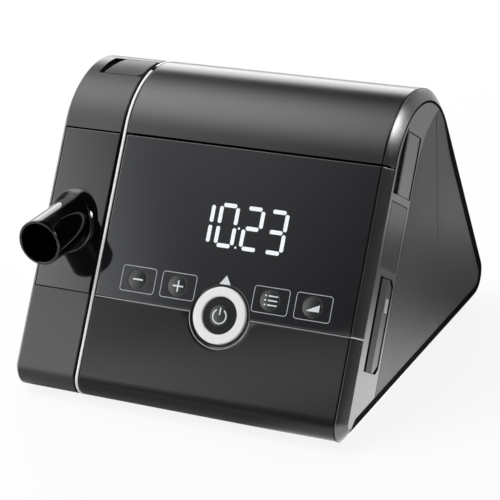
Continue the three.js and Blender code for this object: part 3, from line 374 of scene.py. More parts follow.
tab_grey = plastic("finger_tab", shade(196, 198, 199), 0.4, 3000.0, 0.2)
# Painted shade: a black without sheen, put where shade falls. It fills the gaps beside the white strip and the
# space behind the side's sockets, and it is also the seal's colour by the right rim.
shade_black = plastic("painted_shade_black", shade(6, 6, 6), 0.9, 1800.0, 0.2, Specular_IOR_Level=0.05)
inner_grey = plastic("inner_plastic", shade(92, 94, 96), 0.55, 1800.0, 0.25)
inner_black = plastic("inner_black", shade(14, 14, 14), 0.6, 1800.0, 0.2)
rubber_black = plastic("foot_rubber", shade(28, 28, 29), 0.8, 1500.0, 0.4)
circuit_green = plastic("circuit_board", shade(31, 90, 56), 0.45, 700.0, 0.3, 0.2)
foam_grey = plastic("filter_foam", shade(112, 117, 120), 0.95, 900.0, 1.0, 0.2)
filter_white = plastic("filter_paper", shade(236, 236, 230), 0.9, 1200.0, 0.8, 0.1)
steel_bright = plastic("turned_steel", shade(176, 178, 180), 0.3, 2600.0, 0.2, 0.1, Metallic=1.0)
copper_wire = plastic("stator_windings", shade(170, 105, 62), 0.4, 1300.0, 0.8, 0.15, Metallic=0.8)


def glowing(name, colour, strength):
    """Lit segments: a plastic that also gives off its own light, a little less towards its cloudy parts."""
    material = plastic(name, colour, 0.4, 3000.0, 0.02, 0.02)
    tree = material.node_tree
    principled = tree.nodes["Principled BSDF"]
    principled.inputs["Emission Strength"].default_value = strength
    tree.links.new(tree.nodes["Group"].outputs["Colour"], principled.inputs["Emission Color"])
    return material


digit_light = glowing("digit_light", shade(226, 229, 231), 0.3)

BARE_FINISHES = (
    (("foot", "blower_bush", "keypad", "port_seal"), rubber_black),
    (("coarse_filter", "inlet_muffler"), foam_grey),
    (("pollen_filter",), filter_white),
    (("base_screw", "lower_bearing", "upper_bearing", "card_socket", "service_socket"), steel_bright),
    (("motor_stator",), copper_wire),
    (("digit_module", "power_inlet"), tube_black),
)


def bare_finish(name):
    """The finish of a CAD node, by how its name starts."""
    if "board" in name:
        return circuit_green
    found = [finish for starts, finish in BARE_FINISHES if name.startswith(starts)]
    return found[0] if found else inner_grey


for name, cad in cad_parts.items():
    cad.data.materials.clear()
    cad.data.materials.append(bare_finish(name))


def softened(node_name, piece_name, radius, material, body, angle=28, shape=None, cut=None):
    """A copy of a CAD node with its doubles merged, its flat faces joined and its edges rounded over. First
    it is cut along a plane, given as a place and a normal, and its points are moved by shape."""
    work = bmesh.new()
    work.from_mesh(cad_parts[node_name].data)
    if cut:
        place, normal = cut
        everything = [*work.verts, *work.edges, *work.faces]
        bmesh.ops.bisect_plane(work, geom=everything, plane_co=place, plane_no=normal)
    if shape:
        moved = shape(np.array([v.co[:] for v in work.verts]))
        for vertex, place in zip(work.verts, moved):
            vertex.co = place
    bmesh.ops.remove_doubles(work, verts=work.verts, dist=1e-6)
    bmesh.ops.dissolve_limit(work, angle_limit=math.radians(0.6), verts=work.verts, edges=work.edges)
    edges = [e for e in work.edges if e.is_manifold and e.calc_face_angle() > math.radians(angle)]
    bmesh.ops.bevel(work, geom=edges, offset=radius * MILLIMETRE, segments=3, profile=0.5,
                    affect="EDGES", clamp_overlap=True)
    mesh = bpy.data.meshes.new(piece_name)
    work.to_mesh(mesh)
    work.free()
    mesh.shade_smooth()
    mesh.set_sharp_from_angle(angle=math.radians(50))
    mesh.materials.append(material)
    piece = bpy.data.objects.new(piece_name, mesh)
    bpy.context.scene.collection.objects.link(piece)
    weighted = piece.modifiers.new("weighted", "WEIGHTED_NORMAL")
    weighted.keep_sharp = True
    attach(piece, body)
    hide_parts(node_name)


# Covers of the main housing
def make_top_cover():
    """The cover over the rounded top, from the window to the seam at the rear."""
    x, along = grid(graded((MAIN_LEFT, MAIN_RIGHT), COVER_EDGE, ACROSS_STEP),
                    graded((UPPER_EDGE, REAR_SEAM), COVER_EDGE, ALONG_STEP))
    edge = from_sides(x, along, MAIN_LEFT, MAIN_RIGHT, UPPER_EDGE, REAR_SEAM)
    covering("top_cover_skin", x, along, edge, COVER_EDGE, satin, "housing", ["top_cover"])


def make_lower_cover():
    """The cover's upper edge dips round the power ring: x = middle - R cos t over the dip. Its rows of points
    bend with the dip from a level row up."""
    under, level_up = 13.5, 8.0
    low, high, notch = -CORNER_ARC - under, TRIM_LOW - 0.3, LOBE + 1.0
    turn = np.arccos(np.clip((POWER_UP - high) / notch, -1, 1))
    dip = MIDDLE - notch * np.cos(np.linspace(math.pi / 2 - turn, math.pi / 2 + turn, 61))
    across = np.concatenate((graded((MAIN_LEFT, dip[0]), COVER_EDGE, ACROSS_STEP)[:-EDGE_ROWS], dip,
                             graded((dip[-1], MAIN_RIGHT), COVER_EDGE, ACROSS_STEP)[EDGE_ROWS:]))
    drop = np.zeros(across.shape)
    near = np.abs(across - MIDDLE) < notch
    drop[near] = high - (POWER_UP - np.sqrt(notch**2 - (across[near] - MIDDLE) ** 2))
    up = graded((low, high), COVER_EDGE, ALONG_STEP)
    share = np.clip((up - level_up) / (high - level_up), 0, 1)
    x, along = grid(across, up)
    along = along - np.maximum(drop, 0)[:, None] * share[None, :]
    ring = np.hypot(x - MIDDLE, along - POWER_UP) - notch
    edge = np.minimum(from_sides(x, along, MAIN_LEFT, MAIN_RIGHT, low, high), ring)
    covering("lower_front_skin", x, along, edge, COVER_EDGE, cover_satin, "housing",
             ["lower_front_cover"])


def make_rear_housing():
    """The rear shell has openings for the filter door and the power inlet, each given as its left, right,
    lower and upper side."""
    low, high, radius = REAR_SEAM + 0.6, BOTTOM_START + 15.2, 0.4
    door = (69.95, 132.55, REAR_END - 74.356, REAR_END - 26.556)
    inlet = (141.7, 156.3, REAR_END - 0.8, REAR_END + 14.456)
    x, along = grid(graded((MAIN_LEFT, *door[:2], *inlet[:2], MAIN_RIGHT), radius, ACROSS_STEP),
                    graded((low, *door[2:], *inlet[2:], high), radius, ALONG_STEP))
    edge = from_sides(x, along, MAIN_LEFT, MAIN_RIGHT, low, high)
    middle_x, middle_along = cell_middles(x, along)
    kept = every_cell(x)
    for left, right, start, end in (door, inlet):
        kept &= from_sides(middle_x, middle_along, left, right, start, end) < 0
        outside = np.hypot(np.maximum(np.maximum(left - x, x - right), 0),
                           np.maximum(np.maximum(start - along, along - end), 0))
        edge = np.minimum(edge, outside)
    covering("rear_skin", x, along, edge, radius, satin, "housing", ["rear_housing"], kept)


def around(left, right, low, high, steps):
    """Points on a rectangle's edge, steps to a side, as x and distance up, from the lower left corner."""
    share = np.linspace(0, 1, steps, endpoint=False)
    x = np.concatenate((left + (right - left) * share, np.full(steps, right), right - (right - left) * share,
                        np.full(steps, left)))
    up = np.concatenate((np.full(steps, low), low + (high - low) * share, np.full(steps, high),
                         high - (high - low) * share))
    return x, up


def holed_patch(cx, cy, half_x, half_y, hole_x, hole_y, steps, rows, radius, thickness):
    """A rectangular plate round an oval hole: rows of points run from the oval, centre + hole (cos a, sin a),
    to the rectangle's edge in the same direction."""
    x, up = around(cx - half_x, cx + half_x, cy - half_y, cy + half_y, steps)
    angle = np.arctan2((up - cy) / hole_y, (x - cx) / hole_x)
    oval = np.stack((cx + hole_x * np.cos(angle), cy + hole_y * np.sin(angle)), -1)
    edge = np.stack((x, up), -1)
    lengths = np.linalg.norm(edge - oval, axis=1)
    roll = radius * (1 - np.cos(quarter(4)))
    shares = [np.zeros(len(x))] + [np.minimum(r / lengths, 0.5) for r in (*roll[1:], radius + 0.12)]
    shares += [np.full(len(x), s) for s in np.linspace(0.6, 1, rows)]
    levels = [-radius, *-rolled(roll[1:], radius), *[0.0] * (rows + 1)]
    rings = [lifted(edge, -thickness), lifted(oval, -thickness)]
    rings += [lifted(oval + (edge - oval) * share[:, None], level) for share, level in zip(shares, levels)]
    return np.concatenate(rings), grid_faces(len(rings), len(x), around=True)


def on_front(points):
    """Points given as x, distance up the front slope and distance off it, in the housing's millimetres."""
    return skin(points[:, 0], points[:, 1], points[:, 2])


def make_window():
    """The dark window is a sheet with a half-round notch, with a pierced patch at each key, and a turned
    disc in the notch that holds the white ring."""
    radius, thickness, half, steps = 0.3, 2.0, 7.0, 12
    keys = list(KEY_PLACES.values())
    notch = MIDDLE - LOBE * np.cos(np.linspace(0, math.pi, 49))
    squares = [np.linspace(k - half, k + half, steps + 1) for k in keys]
    left, right, low, high = MAIN_LEFT + 0.3, MAIN_RIGHT, WINDOW_LOW, WINDOW_HIGH
    stops = [graded((left, squares[0][0]), radius, 4.0)[:-EDGE_ROWS], squares[0],
             np.linspace(squares[0][-1], squares[1][0], 3)[1:-1], squares[1], notch, squares[2],
             np.linspace(squares[2][-1], squares[3][0], 3)[1:-1], squares[3],
             graded((squares[3][-1], right), radius, 4.0)[EDGE_ROWS:]]
    across = np.concatenate(stops)
    square_up = np.linspace(KEY_UP - half, KEY_UP + half, steps + 1)
    up = np.concatenate((graded((low, square_up[0]), radius, 1.0)[:-EDGE_ROWS], square_up,
                         graded((square_up[-1], high), radius, 5.0)[EDGE_ROWS:]))
    x, along = grid(across, up)
    bottom = np.full(across.shape, low)
    inside = np.abs(across - MIDDLE) < LOBE + 1e-6
    bottom[inside] = POWER_UP + np.sqrt(np.maximum(LOBE**2 - (across[inside] - MIDDLE) ** 2, 0))
    bottom = np.maximum(bottom, low)
    top_of_keys = square_up[-1]
    moved = bottom[:, None] + (along - low) / (top_of_keys - low) * (top_of_keys - bottom[:, None])
    along = np.where(along < top_of_keys, moved, along)
    edge = np.minimum(np.minimum(x - left, right - x), high - along)
    edge = np.where(inside[:, None], edge, np.minimum(edge, along - low))
    middle_x, middle_up = cell_middles(x, along)
    kept = every_cell(x)
    for k in keys:
        kept &= from_sides(middle_x, middle_up, k - half, k + half, KEY_UP - half, KEY_UP + half) < 0
    sheet = two_sided(skin(x, along, -rolled(edge, radius)), skin(x, along, -thickness))
    points, faces, total = [sheet], [shell_faces(kept)], len(sheet)
    for k in keys:
        patch, patch_faces = holed_patch(k, KEY_UP, half, half, 4.85, 4.85, steps, 2, 0.06, thickness)
        points.append(on_front(patch))
        faces.append(patch_faces + total)
        total += len(patch)
    rim = [(LOBE, -thickness), (LOBE, -0.3), (LOBE - 0.08, -0.12), (LOBE - 0.3, -0.15)]
    groove = [(13.7, -0.75), (13.55, -0.9), (13.5, -1.5), (8.44, -1.5), (8.44, -0.34)]
    hole = [(8.4, -0.3), (5.07, -0.3), (5.04, -0.34), (5.04, -thickness)]
    profile = np.array(rim + groove + hole)
    points.append(turned(profile, DISC_STEPS, MIDDLE, POWER_UP))
    faces.append(ring_faces(len(profile), DISC_STEPS) + total)
    finished("display_window_pane", np.concatenate(points), np.concatenate(faces), window_glass, "housing",
             ["display_window"])


def turned(profile, steps, cx, cy):
    """A profile of radius and height turned about the front slope's normal at cx, cy."""
    angle = np.linspace(0, 2 * math.pi, steps, endpoint=False)
    radius, level = profile[:, :1], profile[:, 1:]
    points = np.stack((cx + radius * np.cos(angle), cy + radius * np.sin(angle),
                       np.broadcast_to(level, (len(profile), steps))), -1)
    return on_front(points.reshape(-1, 3))


def make_ring():
    """The white ring round the power key: a turned band with rounded edges."""
    most, least, face, back, edge = 13.05, 8.65, 0.8, -1.2, 0.45
    angle = quarter(6)
    outer = np.column_stack((most - edge + edge * np.cos(angle), face - edge + edge * np.sin(angle)))
    inner = np.column_stack((least + edge - edge * np.sin(angle), face - edge + edge * np.cos(angle)))
    flat = [(most - 0.65, face), (least + 0.65, face)]
    profile = np.concatenate(([(most, back)], outer, flat, inner, [(least, back)]))
    finished("white_power_ring", turned(profile, DISC_STEPS, MIDDLE, POWER_UP),
             ring_faces(len(profile), DISC_STEPS), ring_white, "housing", ["power_ring"])


def dome(radius, distance):
    """Height of a key's skin over the window: 0.4 (1 - (d/r)^2.2)^1.3, which is 0 at its rim."""
    share = np.clip(distance / radius, 0, 1)
    return 0.4 * (1 - share**2.2) ** 1.3


def make_key(name, cx, cy, radius):
    """A key's turned body: a low dome on a stem with a flange under the window."""
    distance = np.concatenate((radius * np.linspace(1, 0.05, 22), [0.0]))
    top = np.column_stack((distance, dome(radius, distance)))
    under = np.array(((0.0, -6.2), (3.0, -6.2), (3.0, -3.0), (radius + 0.8, -3.0), (radius + 0.8, -2.3),
                      (radius, -2.3), (radius, 0.0)))
    profile = np.concatenate((under, top))
    steps = 64
    finished(name + "_dome", turned(profile, steps, cx, cy), grid_faces(len(profile), steps, around=True),
             key_skin, name, [name])


def laid(name, outline_sets, material):
    """Flat prints on the front: each shape's outline is filled, lifted and given a thickness."""
    points, faces, total = [], [], 0
    for outlines in outline_sets:
        flat = [np.asarray(o, float) for o in outlines]
        joined = np.concatenate(flat)
        points += [on_front(lifted(joined, level)) for level in (PRINT, -PRINT)]
        faces += plate_faces(flat, total)
        total += 2 * len(joined)
    finished(name, np.concatenate(points), faces, material, "housing")


def bar(x0, y0, x1, y1, width):
    """Outline of a lit segment: a bar whose ends are pointed, the points cut blunt."""
    along = np.array((x1 - x0, y1 - y0))
    length = np.linalg.norm(along)
    along = along / length
    side = np.array((-along[1], along[0])) * width / 2
    shape = ((0, -0.35), (0.42, -0.9), (0.62, -1), (length - 0.62, -1), (length - 0.42, -0.9), (length, -0.35),
             (length, 0.35), (length - 0.42, 0.9), (length - 0.62, 1), (0.62, 1), (0.42, 0.9), (0, 0.35))
    start = np.array((x0, y0))
    return np.array([start + along * u + side * v for u, v in shape])


def rounded_box(left, right, low, high, radius):
    """Outline of a rectangle with round corners."""
    turn = quarter(7)
    parts = []
    centres = ((right - radius, high - radius), (left + radius, high - radius),
               (left + radius, low + radius), (right - radius, low + radius))
    for corner, (cx, cy) in enumerate(centres):
        angle = corner * math.pi / 2 + turn
        parts.append(np.column_stack((cx + radius * np.cos(angle), cy + radius * np.sin(angle))))
    return np.concatenate(parts)


def make_prints():
    """The frames round the keys, the pointer over the ring, the lit digits, and the symbols on the keys."""
    line, half_x, half_up, shift = 0.3, 8.87, 6.05, 0.62
    frames = []
    for k in KEY_PLACES.values():
        k += shift
        frames.append([rounded_box(k - half_x + inset, k + half_x - inset, KEY_UP - half_up + inset,
                                   KEY_UP + half_up - inset, 1.5 - inset) for inset in (0.0, line)])
    laid("key_frames", frames, frame_grey)
    tip = MIDDLE - 0.15
    pointer = [(tip - 2.9, 51.55), (tip + 2.7, 51.6), (tip, 55.75)]
    laid("pointer_mark", [[pointer]], ink_white)

    lit = []
    low, mid, high, digit_width, beside, above = 68.85, 78.1, 87.35, 8.13, 0.75, 0.72
    for left, segments in ((80.65, "bc"), (92.85, "abcdef"), (105.55, "abged"), (117.5, "abgcd")):
        right = left + digit_width
        places = {
            "a": (left + beside, high, right - beside, high), "b": (right, mid + above, right, high - above),
            "c": (right, low + above, right, mid - above), "d": (left + beside, low, right - beside, low),
            "e": (left, low + above, left, mid - above), "f": (left, mid + above, left, high - above),
            "g": (left + 0.9, mid, right - 0.9, mid),
        }
        lit += [[bar(*places[s], 1.9)] for s in segments]
    colon, half = 103.12, 0.5
    for up in (77.5, 68.75):
        lit.append([rounded_box(colon - half, colon + half, up - half, up + half, 0.35)])
    laid("clock_digits", lit, digit_light)

    def on_key(cx, cy, radius):
        return lambda x, up: dome(radius, np.hypot(x - cx, up - cy))

    level = KEY_UP
    rows = (level + 2.05, level, level - 2.05)
    minus, plus, menu, ramp = KEY_PLACES.values()
    shapes = {
        "minus_key": [ribbon((minus - 1.9, level), (minus + 3.1, level), 0.75)],
        "plus_key": [ribbon((plus - 2.0, level - 0.1), (plus + 3.2, level - 0.1), 0.7),
                     ribbon((plus + 0.6, level - 2.7), (plus + 0.6, level + 2.5), 0.7)],
        "menu_key": [*(ribbon((menu - 0.55, up), (menu + 3.95, up), 0.62) for up in rows),
                     *(ribbon((menu - 2.35, up), (menu - 1.55, up), 0.7) for up in rows)],
        "ramp_key": [wedge((ramp - 2.6, level - 1.85), (ramp + 3.7, level + 1.45))],
    }
    for name, shape in shapes.items():
        raised(name + "_symbol", shape, on_key(KEY_PLACES[name], KEY_UP, KEY_RADIUS), name)
    turn = np.linspace(math.radians(122), math.radians(418), 49)
    middle = np.column_stack((MIDDLE + 3.3 * np.cos(turn), POWER_UP - 0.3 + 3.3 * np.sin(turn)))
    power = [band(middle, 0.62), ribbon((MIDDLE, POWER_UP + 0.3), (MIDDLE, POWER_UP + 3.7), 0.62)]
    raised("power_symbol", power, on_key(MIDDLE, POWER_UP, POWER_RADIUS), "power_button")


def sideways(path):
    """Unit vectors square to a path."""
    ahead = np.gradient(path, axis=0)
    ahead /= np.linalg.norm(ahead, axis=1)[:, None]
    return np.column_stack((-ahead[:, 1], ahead[:, 0]))


def band(middle, width):
    """A grid of places across a path: middle + side * offset, offset from -width / 2 to width / 2."""
    offset = np.linspace(-width / 2, width / 2, 5)
    return middle[:, None, :] + sideways(middle)[:, None, :] * offset[None, :, None]


def ribbon(first, last, width):
    """A straight band between two places."""
    share = np.linspace(0, 1, 13)[:, None]
    return band(np.array(first) * (1 - share) + np.array(last) * share, width)


def wedge(low, high):
    """A grid of places in a right triangle: up = low + (high - low) * share along * share up."""
    along, up = grid(np.linspace(0.02, 1, 13), np.linspace(0, 1, 13))
    return np.stack((low[0] + (high[0] - low[0]) * along, low[1] + (high[1] - low[1]) * along * up), -1)


def raised(name, grids, height, body):
    """Printed marks on a key: each grid of places lies just above the key's dome, with walls down into it."""
    points, faces, total = [], [], 0
    for places in grids:
        flat = places.reshape(-1, 2)
        level = height(flat[:, 0], flat[:, 1])
        points += [on_front(lifted(flat, level + above)) for above in (0.04, -0.2)]
        faces.append(shell_faces(every_cell(places), total))
        total += 2 * len(flat)
    finished(name, np.concatenate(points), np.concatenate(faces), ink_white, body)


def make_trim():
    """The silver line: its middle runs along the seam, x = middle - R cos t, up = centre - R sin t in the
    dip. On the shoulder it goes on as a white line, whose white is a painted highlight of the silver there."""
    radius, level = LOBE + 0.5, (TRIM_LOW + TRIM_HIGH) / 2
    start = math.asin((POWER_UP - level) / radius)
    turn = np.linspace(start, math.pi - start, 65)
    before = np.linspace(MAIN_LEFT, MIDDLE - radius * math.cos(start), 12)[:-1]
    after = np.linspace(MIDDLE + radius * math.cos(start), MAIN_RIGHT, 12)[1:]
    path = np.concatenate((
        np.column_stack((before, np.full(before.shape, level))),
        np.column_stack((MIDDLE - radius * np.cos(turn), POWER_UP - radius * np.sin(turn))),
        np.column_stack((after, np.full(after.shape, level)))))
    side = sideways(path)
    section = ((-0.2, -1.5), (-0.2, -0.08), (-0.12, 0.0), (0.12, 0.0), (0.2, -0.08), (0.2, -1.5))
    rings = [lifted(path + side * across, out) for across, out in section]
    finished("silver_seam_line", on_front(np.concatenate(rings)), rod_faces(len(section), len(path)),
             line_silver, "housing", ["seam_trim"])
    reach, inset = shoulder_section(8)
    x = FRAME_LEFT + np.concatenate((reach, reach[::-1]))
    out = np.concatenate((-inset, -inset[::-1] - 1.0))
    up = np.array((TRIM_LOW + 0.12, TRIM_LOW + 0.2, TRIM_HIGH + 0.1, TRIM_HIGH + 0.18))
    low = np.array((0.1, 0.0, 0.0, 0.1))
    points = skin(x[:, None], up[None, :], out[:, None] - low[None, :])
    # Painted highlight: the trim on the shoulder is drawn in white where the silver catches the light.
    finished("shoulder_seam_highlight_line", points, rod_faces(len(x), len(up)), strip_white, "housing")


def make_strip():
    """The white strip: a small rounded section carried round the housing's profile, open where the button's
    latch passes. It lies on a black carrier, which paints the shade in the gaps beside the strip."""
    edge, depth, tuck = 0.3, 0.7, 0.1
    turn = quarter(5)
    left = np.column_stack((STRIP_LEFT + edge - edge * np.cos(turn), -edge + edge * np.sin(turn)))
    right = np.column_stack((STRIP_RIGHT - edge + edge * np.sin(turn), -edge + edge * np.cos(turn)))
    section = np.concatenate(([(STRIP_LEFT, -depth)], left, right, [(STRIP_RIGHT, -depth)]))
    along = np.linspace(NOTCH[1], LOOP + NOTCH[0], 420)
    finished("white_strip", skin(section[:, :1], along[None, :], section[:, 1:]),
             rod_faces(len(section), len(along)), strip_white, "housing", ["white_trim_strip"])
    # Painted shade: the carrier's sheenless black fills the gaps beside the white strip.
    low, high = -WALL, -depth - 0.02
    section = np.array(((STRIP_LEFT + tuck, low), (STRIP_LEFT + tuck, high),
                        (STRIP_RIGHT - tuck, high), (STRIP_RIGHT - tuck, low)))
    along = np.linspace(-CORNER_ARC, LOOP - CORNER_ARC, 300, endpoint=False)
    finished("strip_carrier", skin(section[:, :1], along[None, :], section[:, 1:]),
             ring_faces(len(section), len(along)), shade_black, "housing")


def shoulder_section(steps=14):
    """A shoulder's section as reach and inset: reach = width t, inset = depth t^1.25, t from 0 to 1."""
    share = np.linspace(0, 1, steps)
    return SHOULDER * share, SHOULDER_INSET * share**1.25


def make_right_rim():
    """The right shoulder: its section is carried round the profile, once for the ring and once for the
    insert. Both ends tuck in by a small round."""
    reach, inset = shoulder_section()
    edge, left, round_end = 0.06, FRAME_LEFT + 0.2, 0.25
    turn = quarter(4)
    x = np.concatenate(([left], left + edge - edge * np.cos(turn), FRAME_LEFT + reach[1:],
                        [WIDTH - 0.1, WIDTH - 0.12, WIDTH - 0.2, left]))
    out = np.concatenate(([-RIM_INSET], -edge + edge * np.sin(turn), -inset[1:],
                          [-SHOULDER_INSET - 0.04, -RIM_INSET + 0.15, -RIM_INSET, -RIM_INSET]))
    face = np.where(out < -RIM_INSET + 0.01, 0.0, 1.0)
    for name, start, end, nodes, count in (
            ("right_rim", UPPER_EDGE, LOOP + WINDOW_LOW - 0.6, ["right_frame"], 420),
            ("right_rim_insert", WINDOW_LOW, WINDOW_HIGH, ["right_frame_insert"], 60)):
        middle = np.linspace(start, end, count)[1:-1]
        along = np.concatenate(([start, start + 0.08, start + 0.25], middle, [end - 0.25, end - 0.08, end]))
        tuck = rolled(np.minimum(along - start, end - along), round_end)
        points = skin(x[:, None], along[None, :], out[:, None] - face[:, None] * tuck[None, :])
        finished(name, points, rod_faces(len(x), len(along)), rim_satin, "housing", nodes)


def smooth(share):
    """A share from 0 to 1 that eases in and out: 3 t^2 - 2 t^3."""
    share = np.clip(share, 0, 1)
    return share**2 * (3 - 2 * share)


def make_side_seal():
    """A black seal between the right rim and the side's plates, partly a real seal and partly painted shade of
    the gap there. It runs from a hairline at the front slope to its full width over the top, is narrower at the
    back, and fades to a hairline again at the foot."""
    hairline, slope_gain, top_gain, back_loss = 0.12, 1.0, 2.9, 0.9
    along = np.linspace(-CORNER_ARC, LOOP - CORNER_ARC, 480, endpoint=False)
    up_slope = smooth((along - 84.0) / 40.0)
    over_top = smooth((along - REAR_START + 8.0) / 30.0)
    at_back = np.clip((along - REAR_END) / 14.0, 0, 1)
    before_foot = smooth((LOOP - CORNER_ARC - along) / 7.0)
    width = hairline + (slope_gain * up_slope + top_gain * over_top - back_loss * at_back) * before_foot
    start, deep, edge = SHOULDER_INSET + 0.05, WIDTH - 0.6, WIDTH - 0.05
    near = ((deep, 0.0), (edge, 0.0), (WIDTH, 0.05))
    far = ((WIDTH, -0.05), (edge, 0.0), (deep, 0.0))
    rows = [skin(np.full(along.shape, x), along, -start - offset) for x, offset in near]
    rows += [skin(np.full(along.shape, x), along, -start - width - offset) for x, offset in far]
    # The seal's sheenless black is partly a real seal and partly painted shade of the gap by the rim.
    finished("right_side_seal", np.concatenate(rows), ring_faces(len(rows), len(along)), shade_black, "housing")


def profile_loop(inset, count=240):
    """The housing's profile moved inwards, as Y and Z."""
    along = np.linspace(-CORNER_ARC, LOOP - CORNER_ARC, count, endpoint=False)
    return skin(np.zeros(count), along, -np.full(count, inset))[:, 1:]


def from_slope(inward, up):
    """Y and Z of a depth behind the front slope and a distance up it."""
    return skin(np.zeros(1), np.array([up]), np.array([-inward]))[0, 1:]


def make_web():
    """The wall behind the right side's plates, with an opening for each socket. Its sheenless black paints the
    shade seen behind the plates' openings.
    """
    card_socket, service_socket = (19.7, 24.9, 106.481, 130.981), (19.7, 25.3, 40.2, 51.3)
    holes = []
    for near, far, low, high in (card_socket, service_socket):
        corners = ((near, low), (far, low), (far, high), (near, high))
        holes.append(np.array([from_slope(*corner) for corner in corners]))
    outlines = [profile_loop(RIM_INSET - 0.3), *holes]
    joined = np.concatenate(outlines)
    sides = [np.column_stack((np.full(len(joined), x), joined)) for x in (FRAME_LEFT, FRAME_LEFT + 1)]
    # Painted shade: the wall's sheenless black darkens what is seen through the side's openings.
    finished("port_wall", np.concatenate(sides), plate_faces(outlines), shade_black, "housing")


def make_side_section():
    """The side section's shell: its outer and inner surfaces run round the whole profile. Cells are left out
    for the front panel and for the button, and the pocket's walls widen inwards."""
    reach, inset = shoulder_section(12)
    edge, pocket_left, pocket_low, pocket_high = 0.4, 10.2, 145.59, 162.73
    panel_low, panel_high = WINDOW_LOW - 0.3, WINDOW_HIGH + 0.75
    turn = quarter(5)
    flat = np.concatenate((np.linspace(33.2, 12.5, 9), [pocket_left, 8.0, 6.0, 4.6, 4.35]))
    x = np.concatenate((SIDE_RIGHT - edge + edge * np.cos(turn), flat, SHOULDER - reach, [0.0, 0.0]))
    out = np.concatenate((-edge + edge * np.sin(turn), np.zeros(len(flat)), -inset,
                          [-SHOULDER_INSET - 0.3, -RIM_INSET]))
    along = np.unique(np.round(np.concatenate((
        np.linspace(-CORNER_ARC, panel_low, 50), graded((panel_low, panel_high), 0.25, 2.0),
        graded((panel_high, pocket_low), 0.25, 1.6), graded((pocket_low, pocket_high), 0.25, 1.2),
        graded((pocket_high, REAR_START), 0.25, 1.6), np.linspace(REAR_START, LOOP - CORNER_ARC, 160))), 5))
    grid_x, grid_along = grid(x, along)
    middle_x, middle_along = cell_middles(grid_x, grid_along)
    kept = ~((middle_x > SHOULDER) & (middle_along > panel_low) & (middle_along < panel_high))
    kept &= ~((middle_x > pocket_left) & (middle_along > pocket_low) & (middle_along < pocket_high))
    near_low, near_high = (np.maximum(0, 1 - np.abs(grid_along - end) / 3) for end in (pocket_low, pocket_high))
    inner_out = np.minimum(-WALL, out - WALL * 0.8)
    points = two_sided(skin(grid_x, grid_along, out[:, None]),
                       skin(np.maximum(grid_x, WALL), grid_along + near_high - near_low, inner_out[:, None]))
    rows, columns = grid_x.shape
    left_edge = np.arange((rows - 1) * columns, rows * columns)
    left_edges = {*left_edge, *(left_edge + rows * columns)}

    def stays(face):
        """Not so for a wall at the place where the profile closes, or at the left faces' outline."""
        places = {i % columns for i in face}
        closing = len(places) == 1 and places <= {0, columns - 1}
        return not closing and not left_edges.issuperset(face)

    faces = [tuple(face) for face in shell_faces(kept) if stays(face)]
    faces += [tuple(left_edge[:-1]), tuple(left_edge[:-1] + rows * columns)]
    finished("side_section_skin", points, faces, module_satin, "side_section", ["side_shell"])


def make_release_cap():
    """The button's cap lies on the rounded top. Its left edge leans, and its front right corner is an arc:
    right edge = right - R + sqrt(R^2 - (R - d)^2), d being the distance from the front edge."""
    low, high, left, right, lean, corner, edge = 146.05, 162.45, 12.6, 33.3, 3.6, 3.2, 0.35
    up = graded((low, high), edge, 0.8)
    up = np.unique(np.concatenate((up, low + corner * (1 - np.cos(quarter(10))))))
    start = left + lean * (up - low) / (high - low)
    end = right - rolled(up - low, corner)
    across = graded((0.0, 20.0), edge, 1.6) / 20.0
    x = start[None, :] + (end - start)[None, :] * across[:, None]
    along = np.broadcast_to(up, x.shape)
    covering("release_cap", x, along, from_sides(x, along, start, end, low, high), edge, cap_satin,
             "release_button", thickness=0.9)


# Right side's flaps, in depths behind the front slope
INWARDS = np.array((0.0, math.sin(SLOPE), -math.cos(SLOPE)))
FOOT = np.array((0.0, FRONT_CORNER[0] + FRONT_CORNER[2] * math.cos(FRONT_ANGLE),
                 FRONT_CORNER[1] + FRONT_CORNER[2] * math.sin(FRONT_ANGLE)))
FLAP_RIDGE = 22.8


def flap_shape(front, new_front, axis, ridge=0.0, fall=0.0):
    """Moves a flap's front edge back behind its finger groove, squares the upper corner of its hinge barrel,
    and lets its face fall away in front of the ridge. A depth is (p - foot) . inwards. In the barrel's corner,
    reach = reach min(1 / max(|cos a|, |sin a|), 1.15), with a counted about the hinge's axis."""
    half, face, lip, little = 0.9, 169.8, 0.6, 0.02

    def shape(place):
        inner = place / MILLIMETRE + CORNER
        depth = (inner - FOOT) @ INWARDS
        shift = np.where(depth < front + lip, new_front - front, 0.0)
        lowered = np.where((inner[:, 0] > face - 1.2) & (depth + shift < ridge - lip / 2), fall, 0.0)
        deep, high = depth - axis, inner[:, 0] - (face - half)
        reach = np.hypot(deep, high)
        largest = np.maximum(np.abs(deep), np.abs(high))
        grown = np.minimum(reach / np.maximum(largest, 1e-9), 1.15) - 1
        corner = (deep > little) & (high > little) & (reach < half + 0.05)
        shift += np.where(corner, deep * grown, 0.0)
        lowered -= np.where(corner, high * grown, 0.0)
        moved = inner + shift[:, None] * INWARDS - lowered[:, None] * np.array((1.0, 0.0, 0.0))
        return (moved - CORNER) * MILLIMETRE

    return shape


def ridge_cut(depth):
    """The plane across a flap at a depth behind the front slope."""
    return Vector((FOOT + depth * INWARDS - CORNER) * MILLIMETRE), Vector(INWARDS)


def make_flap_tab():
    """A small finger tab on the service flap: its face sinks by the depth of its rounded edges."""
    near, far, low, high, face, back = 23.6, 27.1, 52.0, 58.4, 170.0, 169.4
    deep, up = grid(graded((near, far), 0.3, 0.8), graded((low, high), 0.3, 1.0))
    outer = skin(np.zeros(deep.shape), up, -deep)
    inner = outer.copy()
    outer[..., 0] = face - rolled(from_sides(deep, up, near, far, low, high), 0.2)
    inner[..., 0] = back
    finished("service_tab", two_sided(outer, inner), shell_faces(every_cell(deep)), tab_grey, "service_flap")


